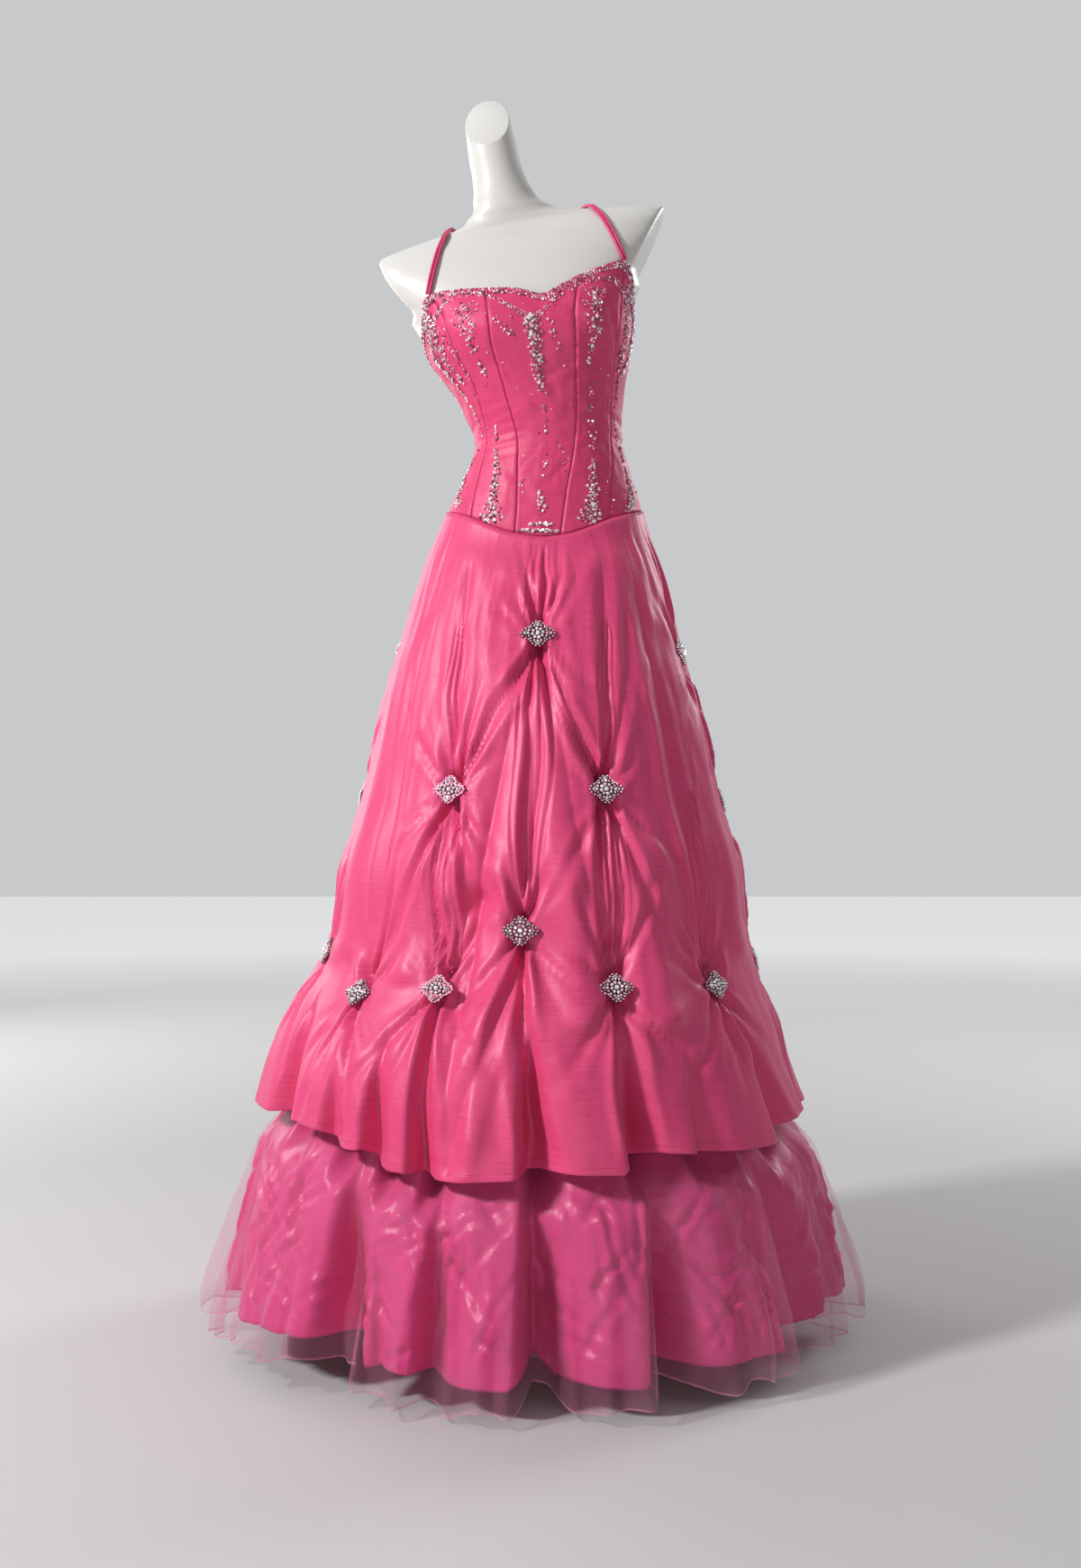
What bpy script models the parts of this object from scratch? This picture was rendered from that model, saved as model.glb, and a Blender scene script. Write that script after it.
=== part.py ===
# An a-line evening dress with a boned bodice, thin straps, a gathered overskirt over a
# flared underskirt with a tulle overlay, and jewelled brooches on the gathers. A smooth
# form without limbs carries it, on a pole and a round foot.
# Metres. +Z is up, the front faces -Y, and the origin is the middle of the foot's
# underside, on the floor. An azimuth is in degrees from the front toward +X, and a level
# is a height along the body.

import math

import bmesh
import bpy
import numpy as np
from mathutils import Matrix, Vector
from mathutils.bvhtree import BVHTree

# Driving dimensions
SEAM_GAP = 0.0003            # between pieces that meet
SKIRT_SEAM_GAP = 0.0005      # a little more, because these seams twist through folds
FORM_EASE = 0.0022           # from the form to the bodice
BODICE_WALL = 0.0014
SKIRT_WALL = 0.0015
TULLE_WALL = 0.0010
FOOT_RADIUS = 0.165
FOOT_THICKNESS = 0.011
POLE_RADIUS = 0.0125
FORM_BOTTOM = 0.790
STRAP_HALF_WIDTH = 0.0042    # two rolled tubes side by side
STRAP_HALF_THICKNESS = 0.0021
STRAP_EASE = 0.0018           # from the form to a strap
STRAP_PASSES = 400
STRAP_STEPS = 22             # on the way up, and as many on the way down
STRAP_RINGS = 24
STRAP_SIDES = 6
STRAP_TOP_GAP = 0.0008       # from a strap's end to the bodice's top edge
SHOULDER_CLEAR_Z = 1.50
BROOCH_WIDTH = 0.044
BROOCH_HEIGHT = 0.036
BROOCH_THICKNESS = 0.0055
BROOCH_SEAT = 0.0003
BROOCH_SIDES = 8
BROOCH_FACE_SHARE = 0.72     # the face's width, as a share of the back's
BROOCH_WAIST = 0.20          # how far the sides draw in between the points
BROOCH_PROBES = 13           # places across and up that find what it rests on
BROOCH_PROBE_SHARE = 0.55
PROBE_REACH = 0.05
GATHER_DIP = 0.010           # how far a gather draws the cloth in
GATHER_REACH = 0.034
PUFF_LIFT = 0.010            # the cloth's bulge below a gather
PUFF_DROP = 0.085
PUFF_HALF_WIDTH = 0.055
PUFF_HALF_HEIGHT = 0.050
FAN_START = 0.022            # a crease reaches its full depth this far from its gather
FOLD_RUN_OUT = 0.018         # past each end of a long fold
HIP_RELEASE = 0.055          # below the seam, where the skirt has left the hips
FOLD_RELEASE = 0.060         # below the seam, where the folds have their full depth
TULLE_TOP = 0.330
TULLE_DROP = 0.022           # tulle below the taffeta's hem
TULLE_FLARE = 0.020
TULLE_LIFT = 0.0036
TULLE_FLARE_START = 0.25     # share of the tulle's fall
TULLE_FLARE_SPAN = 0.9
TULLE_FALL_LIMIT = 1.3
HEM_INSET = 0.014            # the underskirt is held in by the overskirt's hem
COVER_START = 0.055          # below the overskirt's hem
COVER_SPAN = 0.050
INSET_FADE_START = 0.050     # above the overskirt's hem
INSET_FADE_SPAN = 0.120
COVERED_FOLD_SHARE = 0.4     # of the underskirt's folds, where the overskirt covers it
ZIP_SLIDER_LEVEL = 1.222
ZIP_PLATE_WIDTH = 0.0068
ZIP_PLATE_DEPTH = 0.0020
ZIP_PLATE_HEIGHT = 0.0090
ZIP_EAR_WIDTH = 0.0012
ZIP_EAR_DEPTH = 0.0034
ZIP_EAR_HEIGHT = 0.0030
ZIP_BAR_RADIUS = 0.00045
ZIP_BAR_SIDES = 8
ZIP_AXIS_OUT = 0.0040        # from the plate's back to the bar
ZIP_UNION_DEPTH = 0.0002     # how far an ear is sunk into the plate
PULL_TAB_LENGTH = 0.016
PULL_TAB_WIDTH = 0.0034
PULL_TAB_DEPTH = 0.0011
PULL_TAB_DROP = 0.0009       # from the bar to the blade's top
PULL_RING_RADIUS = 0.00165
PULL_RING_SIDES = 16
PULL_HOLE_RADIUS = 0.00085
PULL_HOLE_SIDES = 12
FOOT_SIDES = 36
FOOT_BEVEL = 0.003
POLE_SIDES = 24
ARM_BLEND = 0.020            # height over which the arms' end planes take hold
MERGE_DISTANCE = 0.00001


def make_table(columns, *rows):
    values = np.array(rows, dtype=float)
    return {name: values[:, place] for place, name in enumerate(columns)}


# The form's sections, from the hips to the neck. Above the waist they lean to -X.
FORM_RINGS = make_table(
    ("level", "centre_x", "centre_y", "half_width", "front", "back", "lean", "power"),
    (0.790, 0.005, 0.004, 0.146, 0.098, 0.116, 0.0, 2.0),
    (0.900, 0.009, 0.004, 0.150, 0.101, 0.122, 0.0, 2.0),
    (0.990, 0.013, 0.002, 0.1405, 0.096, 0.112, 0.0, 2.0),
    (1.060, 0.0175, 0.000, 0.1215, 0.087, 0.093, 0.5, 2.0),
    (1.100, 0.020, 0.000, 0.1070, 0.081, 0.085, 1.0, 2.0),
    (1.145, 0.0215, 0.000, 0.0935, 0.076, 0.078, 2.0, 2.0),
    (1.190, 0.0150, -0.001, 0.1010, 0.082, 0.083, 3.5, 2.0),
    (1.225, 0.0090, -0.002, 0.1125, 0.089, 0.088, 5.0, 2.0),
    (1.260, 0.0010, -0.002, 0.1280, 0.094, 0.093, 7.0, 2.0),
    (1.295, -0.0050, 0.000, 0.1380, 0.094, 0.095, 8.5, 2.0),
    (1.325, -0.0080, 0.003, 0.1520, 0.088, 0.093, 9.5, 2.1),
    (1.355, -0.0115, 0.007, 0.1820, 0.078, 0.087, 10.5, 2.3),
    (1.385, -0.0155, 0.011, 0.2080, 0.067, 0.078, 11.0, 2.4),
    (1.407, -0.0180, 0.013, 0.2120, 0.055, 0.064, 11.0, 2.4),
    (1.420, -0.0200, 0.014, 0.2000, 0.042, 0.050, 11.0, 2.3),
    (1.429, -0.0225, 0.013, 0.1500, 0.035, 0.041, 11.0, 2.1),
    (1.436, -0.0260, 0.011, 0.0900, 0.035, 0.039, 11.0, 2.0),
    (1.450, -0.0310, 0.008, 0.0540, 0.037, 0.040, 11.0, 2.0),
    (1.472, -0.0385, 0.005, 0.0395, 0.037, 0.038, 11.0, 2.0),
    (1.495, -0.0445, 0.002, 0.0340, 0.035, 0.036, 11.0, 2.0),
    (1.524, -0.0510, -0.001, 0.0325, 0.034, 0.034, 12.0, 2.0),
    (1.560, -0.0580, -0.004, 0.0300, 0.033, 0.033, 12.0, 2.0),
    (1.640, -0.0730, -0.010, 0.0290, 0.032, 0.032, 12.0, 2.0),
)
BUST = make_table(
    ("azimuth", "level", "lift", "azimuth_spread", "level_spread"),
    (-27.0, 1.290, 0.015, 25.0, 0.042),
    (39.0, 1.290, 0.015, 25.0, 0.042),
)
# The flat cut that ends the neck, and the planes that end the arms: each plane's x at its
# own height, and how far it runs outward for a metre of height and of depth.
NECK_CUT_POINT = (-0.061, 0.000, 1.561)
NECK_CUT_NORMAL = (-0.22, -1.20, 1.0)
ARM_ENDS = make_table(
    ("side", "x", "height", "per_height", "per_depth"),
    (-1, -0.200, 1.372, -0.37, 0.12),
    (-1, -0.165, 1.324, -0.94, 0.16),
    (1, 0.154, 1.405, 0.42, 0.10),
)
ARM_LEVEL = 1.322

# The overskirt and the underskirt, without their folds.
OVERSKIRT_RINGS = make_table(
    ("level", "centre_x", "half_width", "front", "back"),
    (0.230, 0.0000, 0.373, 0.366, 0.366),
    (0.287, -0.0026, 0.360, 0.352, 0.352),
    (0.322, -0.0055, 0.348, 0.340, 0.340),
    (0.358, -0.0060, 0.334, 0.326, 0.326),
    (0.393, -0.0030, 0.321, 0.312, 0.312),
    (0.429, 0.0000, 0.304, 0.294, 0.294),
    (0.464, 0.0060, 0.287, 0.276, 0.276),
    (0.499, 0.0090, 0.275, 0.262, 0.262),
    (0.606, 0.0115, 0.257, 0.240, 0.240),
    (0.676, 0.0115, 0.236, 0.219, 0.221),
    (0.747, 0.0120, 0.219, 0.200, 0.204),
    (0.818, 0.0110, 0.202, 0.179, 0.187),
    (0.889, 0.0110, 0.182, 0.153, 0.166),
    (0.960, 0.0140, 0.163, 0.127, 0.142),
    (1.013, 0.0145, 0.145, 0.106, 0.120),
    (1.060, 0.0157, 0.129, 0.095, 0.102),
)
UNDERSKIRT_RINGS = make_table(
    ("level", "centre_x", "half_width", "front", "back"),
    (0.000, 0.0020, 0.414, 0.410, 0.410),
    (0.075, 0.0030, 0.405, 0.400, 0.400),
    (0.145, 0.0040, 0.388, 0.382, 0.382),
    (0.216, 0.0040, 0.368, 0.362, 0.362),
    (0.252, 0.0030, 0.353, 0.347, 0.347),
    (0.290, 0.0000, 0.336, 0.329, 0.329),
    (0.360, 0.0000, 0.303, 0.295, 0.295),
    (0.460, 0.0050, 0.252, 0.240, 0.240),
    (0.600, 0.0110, 0.226, 0.210, 0.211),
    (0.750, 0.0120, 0.186, 0.169, 0.173),
    (0.890, 0.0120, 0.159, 0.129, 0.142),
    (0.990, 0.0130, 0.1475, 0.108, 0.122),
    (1.060, 0.0157, 0.1265, 0.092, 0.098),
)

# Edges, each a level by azimuth.
BODICE_TOP = make_table(
    ("azimuth", "level"),
    (-180, 1.236), (-140, 1.242), (-110, 1.262), (-88, 1.286), (-66, 1.315),
    (-52, 1.337), (-42, 1.346), (-30, 1.343), (-18, 1.335), (-4, 1.326), (8, 1.313),
    (20, 1.327), (32, 1.339), (45, 1.346), (57, 1.335), (70, 1.309), (88, 1.282),
    (110, 1.262), (140, 1.242), (180, 1.236),
)
BODICE_HEM = make_table(
    ("azimuth", "level"),
    (-180, 1.048), (-90, 1.056), (-45, 1.039), (-15, 1.016), (0, 1.011), (12, 1.015),
    (40, 1.037), (90, 1.055), (180, 1.048),
)
OVERSKIRT_HEM = make_table(
    ("azimuth", "level"),
    (-180, 0.272), (-130, 0.279), (-100, 0.291), (-77, 0.300), (-50, 0.298),
    (-44, 0.294), (-41, 0.276), (-33, 0.279), (-31, 0.258), (-24, 0.260), (-18, 0.252),
    (-3, 0.257), (2, 0.264), (17, 0.260), (20, 0.272), (25, 0.279), (40, 0.273),
    (53, 0.270), (62, 0.284), (75, 0.292), (100, 0.288), (130, 0.276), (180, 0.272),
)
UNDERSKIRT_HEM = make_table(
    ("azimuth", "level"),
    (-180, 0.046), (-125, 0.050), (-90, 0.052), (-60, 0.056), (-38, 0.066),
    (-30, 0.040), (-20, 0.042), (-16, 0.032), (-4, 0.036), (0, 0.054), (4, 0.038),
    (18, 0.034), (21, 0.052), (30, 0.044), (46, 0.046), (63, 0.062), (90, 0.052),
    (125, 0.050), (180, 0.046),
)

# The bodice's seams, each an azimuth by level. The side and back seams stay upright.
PRINCESS_LEFT = make_table(
    ("level", "azimuth"),
    (1.010, -15), (1.060, -17), (1.105, -21), (1.156, -26), (1.213, -26),
    (1.284, -20), (1.340, -17),
)
PRINCESS_RIGHT = make_table(
    ("level", "azimuth"),
    (1.010, 9), (1.074, 13), (1.125, 19), (1.164, 23), (1.240, 24), (1.285, 24),
    (1.340, 25),
)
SIDE_FRONT_LEFT = make_table(
    ("level", "azimuth"),
    (1.030, -45), (1.105, -53), (1.146, -56), (1.200, -51), (1.281, -45), (1.345, -43),
)
SIDE_FRONT_RIGHT = make_table(
    ("level", "azimuth"),
    (1.030, 39), (1.078, 44), (1.118, 52), (1.146, 56), (1.200, 56), (1.280, 52),
    (1.345, 50),
)
SIDE_AZIMUTH = 96.0
BACK_AZIMUTH = 180.0
SKIRT_SIDE_SEAMS = (103.0, -107.0)
# Where each strap starts in front, passes over the shoulder and ends at the back.
STRAPS = (
    ("strap_left", -42.0, (-0.093, 0.012), -152.0),
    ("strap_right", 45.0, (0.046, 0.012), 155.0),
)

# The gathers, each under a brooch. The names count round from the front in each row.
GATHERS = make_table(
    ("azimuth", "level", "turn"),
    (-1.0, 0.878, 0), (76.0, 0.868, 2), (180.0, 0.872, 0), (-98.0, 0.874, -2),
    (-28.3, 0.689, -3), (19.5, 0.689, 2), (88.0, 0.676, 0), (138.0, 0.686, 3),
    (-158.0, 0.690, -2), (-92.0, 0.684, 2),
    (-76.0, 0.485, 4), (-46.1, 0.446, 4), (-23.4, 0.458, -3), (-4.9, 0.526, 0),
    (18.8, 0.458, 6), (49.4, 0.455, 8), (88.0, 0.470, 0), (119.0, 0.452, -4),
    (147.0, 0.470, 3), (176.0, 0.448, 0), (-152.0, 0.466, -3), (-116.0, 0.455, 4),
)
# Creases that fan out of each gather: the angle is from straight down, toward +X.
FAN = make_table(
    ("angle", "length", "depth", "start_width", "end_width"),
    (-27, 0.110, 0.0050, 0.008, 0.017),
    (3, 0.150, 0.0070, 0.008, 0.020),
    (30, 0.110, 0.0050, 0.008, 0.017),
    (152, 0.095, 0.0040, 0.008, 0.016),
    (183, 0.130, 0.0055, 0.008, 0.018),
    (212, 0.090, 0.0040, 0.008, 0.016),
)
# Long folds of the overskirt. A lift is outward, and a negative one is a trough.
LONG_FOLDS = make_table(
    ("azimuth_1", "level_1", "azimuth_2", "level_2", "lift_1", "lift_2", "width_1",
     "width_2"),
    (-1, 0.865, -28, 0.705, -0.0025, -0.0040, 0.010, 0.010),
    (-1, 0.865, 19, 0.705, -0.0025, -0.0040, 0.010, 0.010),
    (-1, 0.860, -2, 0.590, -0.0025, -0.0045, 0.010, 0.016),
    (-9, 0.800, -11, 0.600, 0.0040, 0.0070, 0.016, 0.024),
    (8, 0.800, 8, 0.600, 0.0040, 0.0060, 0.016, 0.024),
    (-12, 0.790, -16, 0.560, -0.0030, -0.0110, 0.012, 0.016),
    (-5, 0.995, -1, 0.890, -0.0030, -0.0040, 0.008, 0.008),
    (8, 0.995, 0, 0.890, -0.0030, -0.0040, 0.008, 0.008),
    (-35, 0.960, -29, 0.700, -0.0020, -0.0050, 0.012, 0.012),
    (28, 0.960, 20, 0.700, -0.0020, -0.0050, 0.012, 0.012),
    (-28, 0.675, -23.5, 0.475, -0.0070, -0.0070, 0.012, 0.013),
    (-36, 0.640, -33, 0.480, 0.0050, 0.0090, 0.020, 0.024),
    (19.5, 0.675, 18, 0.475, -0.0070, -0.0060, 0.012, 0.013),
    (9, 0.580, 11, 0.430, 0.0060, 0.0150, 0.024, 0.030),
    (30, 0.620, 31, 0.430, 0.0050, 0.0120, 0.024, 0.030),
    (45, 0.940, 49, 0.480, -0.0020, -0.0070, 0.012, 0.014),
    (62, 0.900, 66, 0.500, 0.0040, 0.0080, 0.020, 0.026),
    (76, 0.850, 88, 0.700, -0.0050, -0.0050, 0.012, 0.012),
    (88, 0.660, 88, 0.490, -0.0060, -0.0060, 0.012, 0.014),
    (-54, 0.900, -47, 0.470, -0.0020, -0.0070, 0.012, 0.014),
    (-66, 0.860, -62, 0.500, 0.0030, 0.0080, 0.020, 0.028),
    (-98, 0.860, -92, 0.700, -0.0025, -0.0040, 0.012, 0.012),
    (-92, 0.670, -77, 0.500, -0.0060, -0.0060, 0.012, 0.013),
    (-98, 0.860, -150, 0.705, -0.0025, -0.0045, 0.012, 0.012),
    (180, 0.860, 202, 0.705, -0.0025, -0.0045, 0.012, 0.012),
    (180, 0.860, 138, 0.705, -0.0025, -0.0045, 0.012, 0.012),
    (180, 0.850, 177, 0.470, -0.0025, -0.0060, 0.012, 0.014),
    (138, 0.670, 147, 0.490, -0.0060, -0.0060, 0.012, 0.013),
    (120, 0.860, 119, 0.470, -0.0030, -0.0070, 0.012, 0.014),
    (202, 0.670, 208, 0.480, -0.0060, -0.0060, 0.012, 0.013),
    (-124, 0.850, -116, 0.480, -0.0030, -0.0070, 0.012, 0.014),
)
# Recesses between the tube-like folds at a hem. Each fades out at its rise above it.
OVERSKIRT_RECESSES = make_table(
    ("azimuth", "depth", "half_angle", "rise"),
    (-42.5, 0.014, 3.0, 0.11), (-32, 0.018, 2.8, 0.17), (-21.5, 0.020, 2.8, 0.19),
    (-0.5, 0.026, 3.4, 0.20), (20.0, 0.024, 3.4, 0.16), (34.0, 0.010, 3.6, 0.12),
    (57.0, 0.018, 3.6, 0.15), (77.0, 0.016, 3.6, 0.14), (98.0, 0.020, 3.8, 0.17),
    (112.0, 0.015, 3.2, 0.13), (130.0, 0.020, 3.4, 0.17), (143.0, 0.015, 3.0, 0.13),
    (157.0, 0.022, 3.4, 0.18), (169.0, 0.016, 3.0, 0.13), (-174.0, 0.022, 3.4, 0.17),
    (-161.0, 0.016, 3.0, 0.13), (-143.0, 0.020, 3.4, 0.18), (-128.0, 0.016, 3.2, 0.13),
    (-106.0, 0.020, 3.6, 0.16), (-88.0, 0.016, 3.2, 0.14), (-62.0, 0.018, 3.6, 0.16),
)
UNDERSKIRT_RECESSES = make_table(
    ("azimuth", "depth", "half_angle", "rise"),
    (-79, 0.030, 4.6, 0.26), (-37.5, 0.042, 4.0, 0.27), (-28, 0.016, 3.0, 0.16),
    (-18.8, 0.034, 3.4, 0.25), (0, 0.050, 4.2, 0.30), (21, 0.042, 3.8, 0.27),
    (49, 0.038, 4.4, 0.26), (66, 0.032, 4.0, 0.26), (88, 0.040, 4.6, 0.27),
    (107, 0.030, 4.0, 0.25), (124, 0.042, 4.4, 0.27), (143, 0.034, 4.0, 0.25),
    (161, 0.042, 4.4, 0.28), (178, 0.032, 3.8, 0.25), (-166, 0.042, 4.4, 0.28),
    (-147, 0.032, 4.0, 0.25), (-128, 0.042, 4.4, 0.27), (-109, 0.036, 4.2, 0.25),
    (-94, 0.024, 3.4, 0.22),
)

# The underskirt's rows, each a share of the way from the seam to its hem. The tulle
# covers the last of them and shares their corners, so the two layers never meet.
UNDERSKIRT_ROWS = (0.0, 0.10, 0.25, 0.45, 0.62, 0.717, 0.780, 0.835, 0.915, 1.0)
TULLE_FIRST_ROW = 5

COLUMNS_PER_TURN = {"form": 36, "bodice": 44, "overskirt": 96, "underskirt": 76}
OVERSKIRT_ROWS = 15
BODICE_ROWS = 13
BODICE_MIDDLE = 1.18         # a level between the bodice's edges
BODICE_RADIUS = 0.11
EDGE_PASSES = 12             # a panel's edges and seams are found in turn
# The form's rows: a few low ones, even ones under the bodice, then the table's own.
FORM_LOW_ROWS = (FORM_BOTTOM, 0.900, 0.970)
FORM_EVEN_ROWS = (1.015, 1.335, 15)
FORM_UPPER_START = 1.35


def smooth_read(table, key_name, value_name, key):
    # A smooth curve through the rows of a table.
    keys = table[key_name]
    values = table[value_name]
    slopes = np.gradient(values, keys)
    row = np.clip(np.searchsorted(keys, key) - 1, 0, len(keys) - 2)
    span = keys[row + 1] - keys[row]
    part = np.clip((key - keys[row]) / span, 0.0, 1.0)
    start = (1 + 2 * part) * (1 - part) ** 2 * values[row]
    start_slope = part * (1 - part) ** 2 * span * slopes[row]
    end = part**2 * (3 - 2 * part) * values[row + 1]
    end_slope = part**2 * (part - 1) * span * slopes[row + 1]
    return start + start_slope + end + end_slope


def wrap(azimuth):
    return (azimuth + 180.0) % 360.0 - 180.0


def ease(part):
    part = np.clip(part, 0.0, 1.0)
    return part * part * (3 - 2 * part)


def edge_level(edge, azimuth):
    return smooth_read(edge, "azimuth", "level", wrap(azimuth))


def hem_level(hem, azimuth):
    # Straight between its rows, because a folded hem steps at its folds.
    return np.interp(wrap(azimuth), hem["azimuth"], hem["level"])


def stack(x, y, z):
    return np.stack([x, y, z], axis=-1)


def outward(azimuth):
    angle = np.radians(azimuth)
    return stack(np.sin(angle), -np.cos(angle), np.zeros_like(angle))


def form_surface(azimuth, level):
    ring = {
        name: smooth_read(FORM_RINGS, "level", name, level)
        for name in FORM_RINGS
        if name != "level"
    }
    angle = np.radians(azimuth)
    side = np.sin(angle)
    ahead = np.cos(angle)
    roundness = 2 / ring["power"]
    depth = np.where(ahead > 0, ring["front"], ring["back"])
    x = ring["half_width"] * np.sign(side) * np.abs(side) ** roundness
    y = -depth * np.sign(ahead) * np.abs(ahead) ** roundness
    for row in range(len(BUST["azimuth"])):
        across = wrap(azimuth - BUST["azimuth"][row]) / BUST["azimuth_spread"][row]
        above = (level - BUST["level"][row]) / BUST["level_spread"][row]
        lift = BUST["lift"][row] * np.exp(-(across**2) - above**2)
        x = x + side * lift
        y = y - ahead * lift
    lean = np.radians(ring["lean"])
    z = level + x * np.sin(lean)
    x = ring["centre_x"] + x * np.cos(lean)
    y = ring["centre_y"] + y
    arm = ease((level - ARM_LEVEL) / ARM_BLEND)
    for row in range(len(ARM_ENDS["side"])):
        end = ARM_ENDS["x"][row] + ARM_ENDS["per_depth"][row] * y
        end = end + ARM_ENDS["per_height"][row] * (z - ARM_ENDS["height"][row])
        if ARM_ENDS["side"][row] < 0:
            x = x + (np.maximum(x, end) - x) * arm
        else:
            x = x + (np.minimum(x, end) - x) * arm
    return stack(x, y, z)


def lifted(surface, azimuth, level, lift):
    # A point of the surface, moved out along the surface's own normal.
    turn = 0.4
    rise = 0.001
    round_step = surface(azimuth + turn, level) - surface(azimuth - turn, level)
    rise_step = surface(azimuth, level + rise) - surface(azimuth, level - rise)
    normal = np.cross(round_step, rise_step)
    normal /= np.linalg.norm(normal, axis=-1, keepdims=True)
    return surface(azimuth, level) + normal * np.asarray(lift)[..., None]


def skirt_ring(rings, azimuth, level):
    angle = np.radians(azimuth)
    half_width = smooth_read(rings, "level", "half_width", level)
    front = smooth_read(rings, "level", "front", level)
    back = smooth_read(rings, "level", "back", level)
    centre_x = smooth_read(rings, "level", "centre_x", level)
    depth = np.where(np.cos(angle) > 0, front, back)
    return stack(centre_x + half_width * np.sin(angle), -depth * np.cos(angle), level)


def hang(rings, azimuth, level, seam_lift):
    # Cloth that leaves the form's hips at the bodice's hem and falls to its own rings.
    seam = edge_level(BODICE_HEM, azimuth)
    share = ease((seam - level) / HIP_RELEASE)[..., None]
    hips = lifted(form_surface, azimuth, level, np.full_like(level, seam_lift))
    return hips * (1 - share) + skirt_ring(rings, azimuth, level) * share


def fold_lift(azimuth, level, ends, lifts, widths):
    # A crease along a straight line on the unrolled cloth, between two ends.
    (azimuth_1, level_1), (azimuth_2, level_2) = ends
    radius = smooth_read(OVERSKIRT_RINGS, "level", "half_width", level)
    x = np.radians(wrap(azimuth - azimuth_1)) * radius
    z = level - level_1
    run_x = math.radians(azimuth_2 - azimuth_1) * radius
    run_z = level_2 - level_1
    length = np.sqrt(run_x**2 + run_z**2)
    along = (x * run_x + z * run_z) / length
    across = (x * run_z - z * run_x) / length
    part = np.clip(along / length, 0.0, 1.0)
    past = along - part * length
    lift = lifts[0] + (lifts[1] - lifts[0]) * part
    width = widths[0] + (widths[1] - widths[0]) * part
    return lift * np.exp(-((across / width) ** 2) - (past / FOLD_RUN_OUT) ** 2)


def gather_lift(azimuth, level, row):
    centre_azimuth = GATHERS["azimuth"][row]
    centre_level = GATHERS["level"][row]
    radius = float(smooth_read(OVERSKIRT_RINGS, "level", "half_width", centre_level))
    x = np.radians(wrap(azimuth - centre_azimuth)) * radius
    z = level - centre_level
    lift = -GATHER_DIP * np.exp(-(x**2 + z**2) / GATHER_REACH**2)
    puff = ((z + PUFF_DROP) / PUFF_HALF_HEIGHT) ** 2
    lift += PUFF_LIFT * np.exp(-((x / PUFF_HALF_WIDTH) ** 2) - puff)
    for crease in range(len(FAN["angle"])):
        angle = math.radians(FAN["angle"][crease] + GATHERS["turn"][row])
        along = x * math.sin(angle) - z * math.cos(angle)
        across = x * math.cos(angle) + z * math.sin(angle)
        part = along / FAN["length"][crease]
        start_width = FAN["start_width"][crease]
        end_width = FAN["end_width"][crease]
        width = start_width + (end_width - start_width) * np.clip(part, 0.0, 1.0)
        strength = ease(along / FAN_START) * (1 - ease(part))
        lift -= FAN["depth"][crease] * strength * np.exp(-((across / width) ** 2))
    return lift


def recess_lift(recesses, hem, azimuth, level):
    above = level - hem_level(hem, azimuth)
    lift = np.zeros_like(level)
    for row in range(len(recesses["azimuth"])):
        across = wrap(azimuth - recesses["azimuth"][row]) / recesses["half_angle"][row]
        fade = 1 - ease(above / recesses["rise"][row])
        lift -= recesses["depth"][row] * fade * np.exp(-(across**2))
    return lift


def overskirt_surface(azimuth, level):
    lift = recess_lift(OVERSKIRT_RECESSES, OVERSKIRT_HEM, azimuth, level)
    for row in range(len(LONG_FOLDS["azimuth_1"])):
        fold = {name: LONG_FOLDS[name][row] for name in LONG_FOLDS}
        lift += fold_lift(
            azimuth,
            level,
            ((fold["azimuth_1"], fold["level_1"]), (fold["azimuth_2"], fold["level_2"])),
            (fold["lift_1"], fold["lift_2"]),
            (fold["width_1"], fold["width_2"]),
        )
    for row in range(len(GATHERS["azimuth"])):
        lift += gather_lift(azimuth, level, row)
    seam = edge_level(BODICE_HEM, azimuth)
    free = ease((seam - level) / FOLD_RELEASE)
    seam_lift = FORM_EASE + 2 * SKIRT_WALL + SEAM_GAP
    base = hang(OVERSKIRT_RINGS, azimuth, level, seam_lift)
    return base + outward(azimuth) * (lift * free)[..., None]


def underskirt_surface(azimuth, level):
    base = hang(UNDERSKIRT_RINGS, azimuth, level, FORM_EASE + SKIRT_WALL)
    lift = recess_lift(UNDERSKIRT_RECESSES, UNDERSKIRT_HEM, azimuth, level)
    # Above the overskirt's hem it is held in, and follows that hem's own recesses.
    hem = hem_level(OVERSKIRT_HEM, azimuth)
    above_hem = np.maximum(level, hem)
    covered = ease((level - hem + COVER_START) / COVER_SPAN)
    inset = recess_lift(OVERSKIRT_RECESSES, OVERSKIRT_HEM, azimuth, above_hem) - HEM_INSET
    fade = 1 - ease((level - hem - INSET_FADE_START) / INSET_FADE_SPAN)
    held_in = inset * fade + COVERED_FOLD_SHARE * lift
    lift = lift * (1 - covered) + held_in * covered
    return base + outward(azimuth) * lift[..., None]


def tulle_surface(azimuth, level):
    hem = hem_level(UNDERSKIRT_HEM, azimuth)
    fall = np.clip((TULLE_TOP - level) / (TULLE_TOP - hem), 0.0, TULLE_FALL_LIMIT)
    taffeta = underskirt_surface(azimuth, np.maximum(level, hem))
    lift = TULLE_LIFT + TULLE_FLARE * ease((fall - TULLE_FLARE_START) / TULLE_FLARE_SPAN)
    point = taffeta + outward(azimuth) * lift[..., None]
    point[..., 2] = level
    return point


def new_material(name, colour, roughness, metallic=0.0):
    material = bpy.data.materials.new(name)
    material.use_nodes = True
    shader = material.node_tree.nodes["Principled BSDF"]
    shader.inputs["Base Color"].default_value = (*colour, 1.0)
    shader.inputs["Roughness"].default_value = roughness
    shader.inputs["Metallic"].default_value = metallic
    return material


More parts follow.
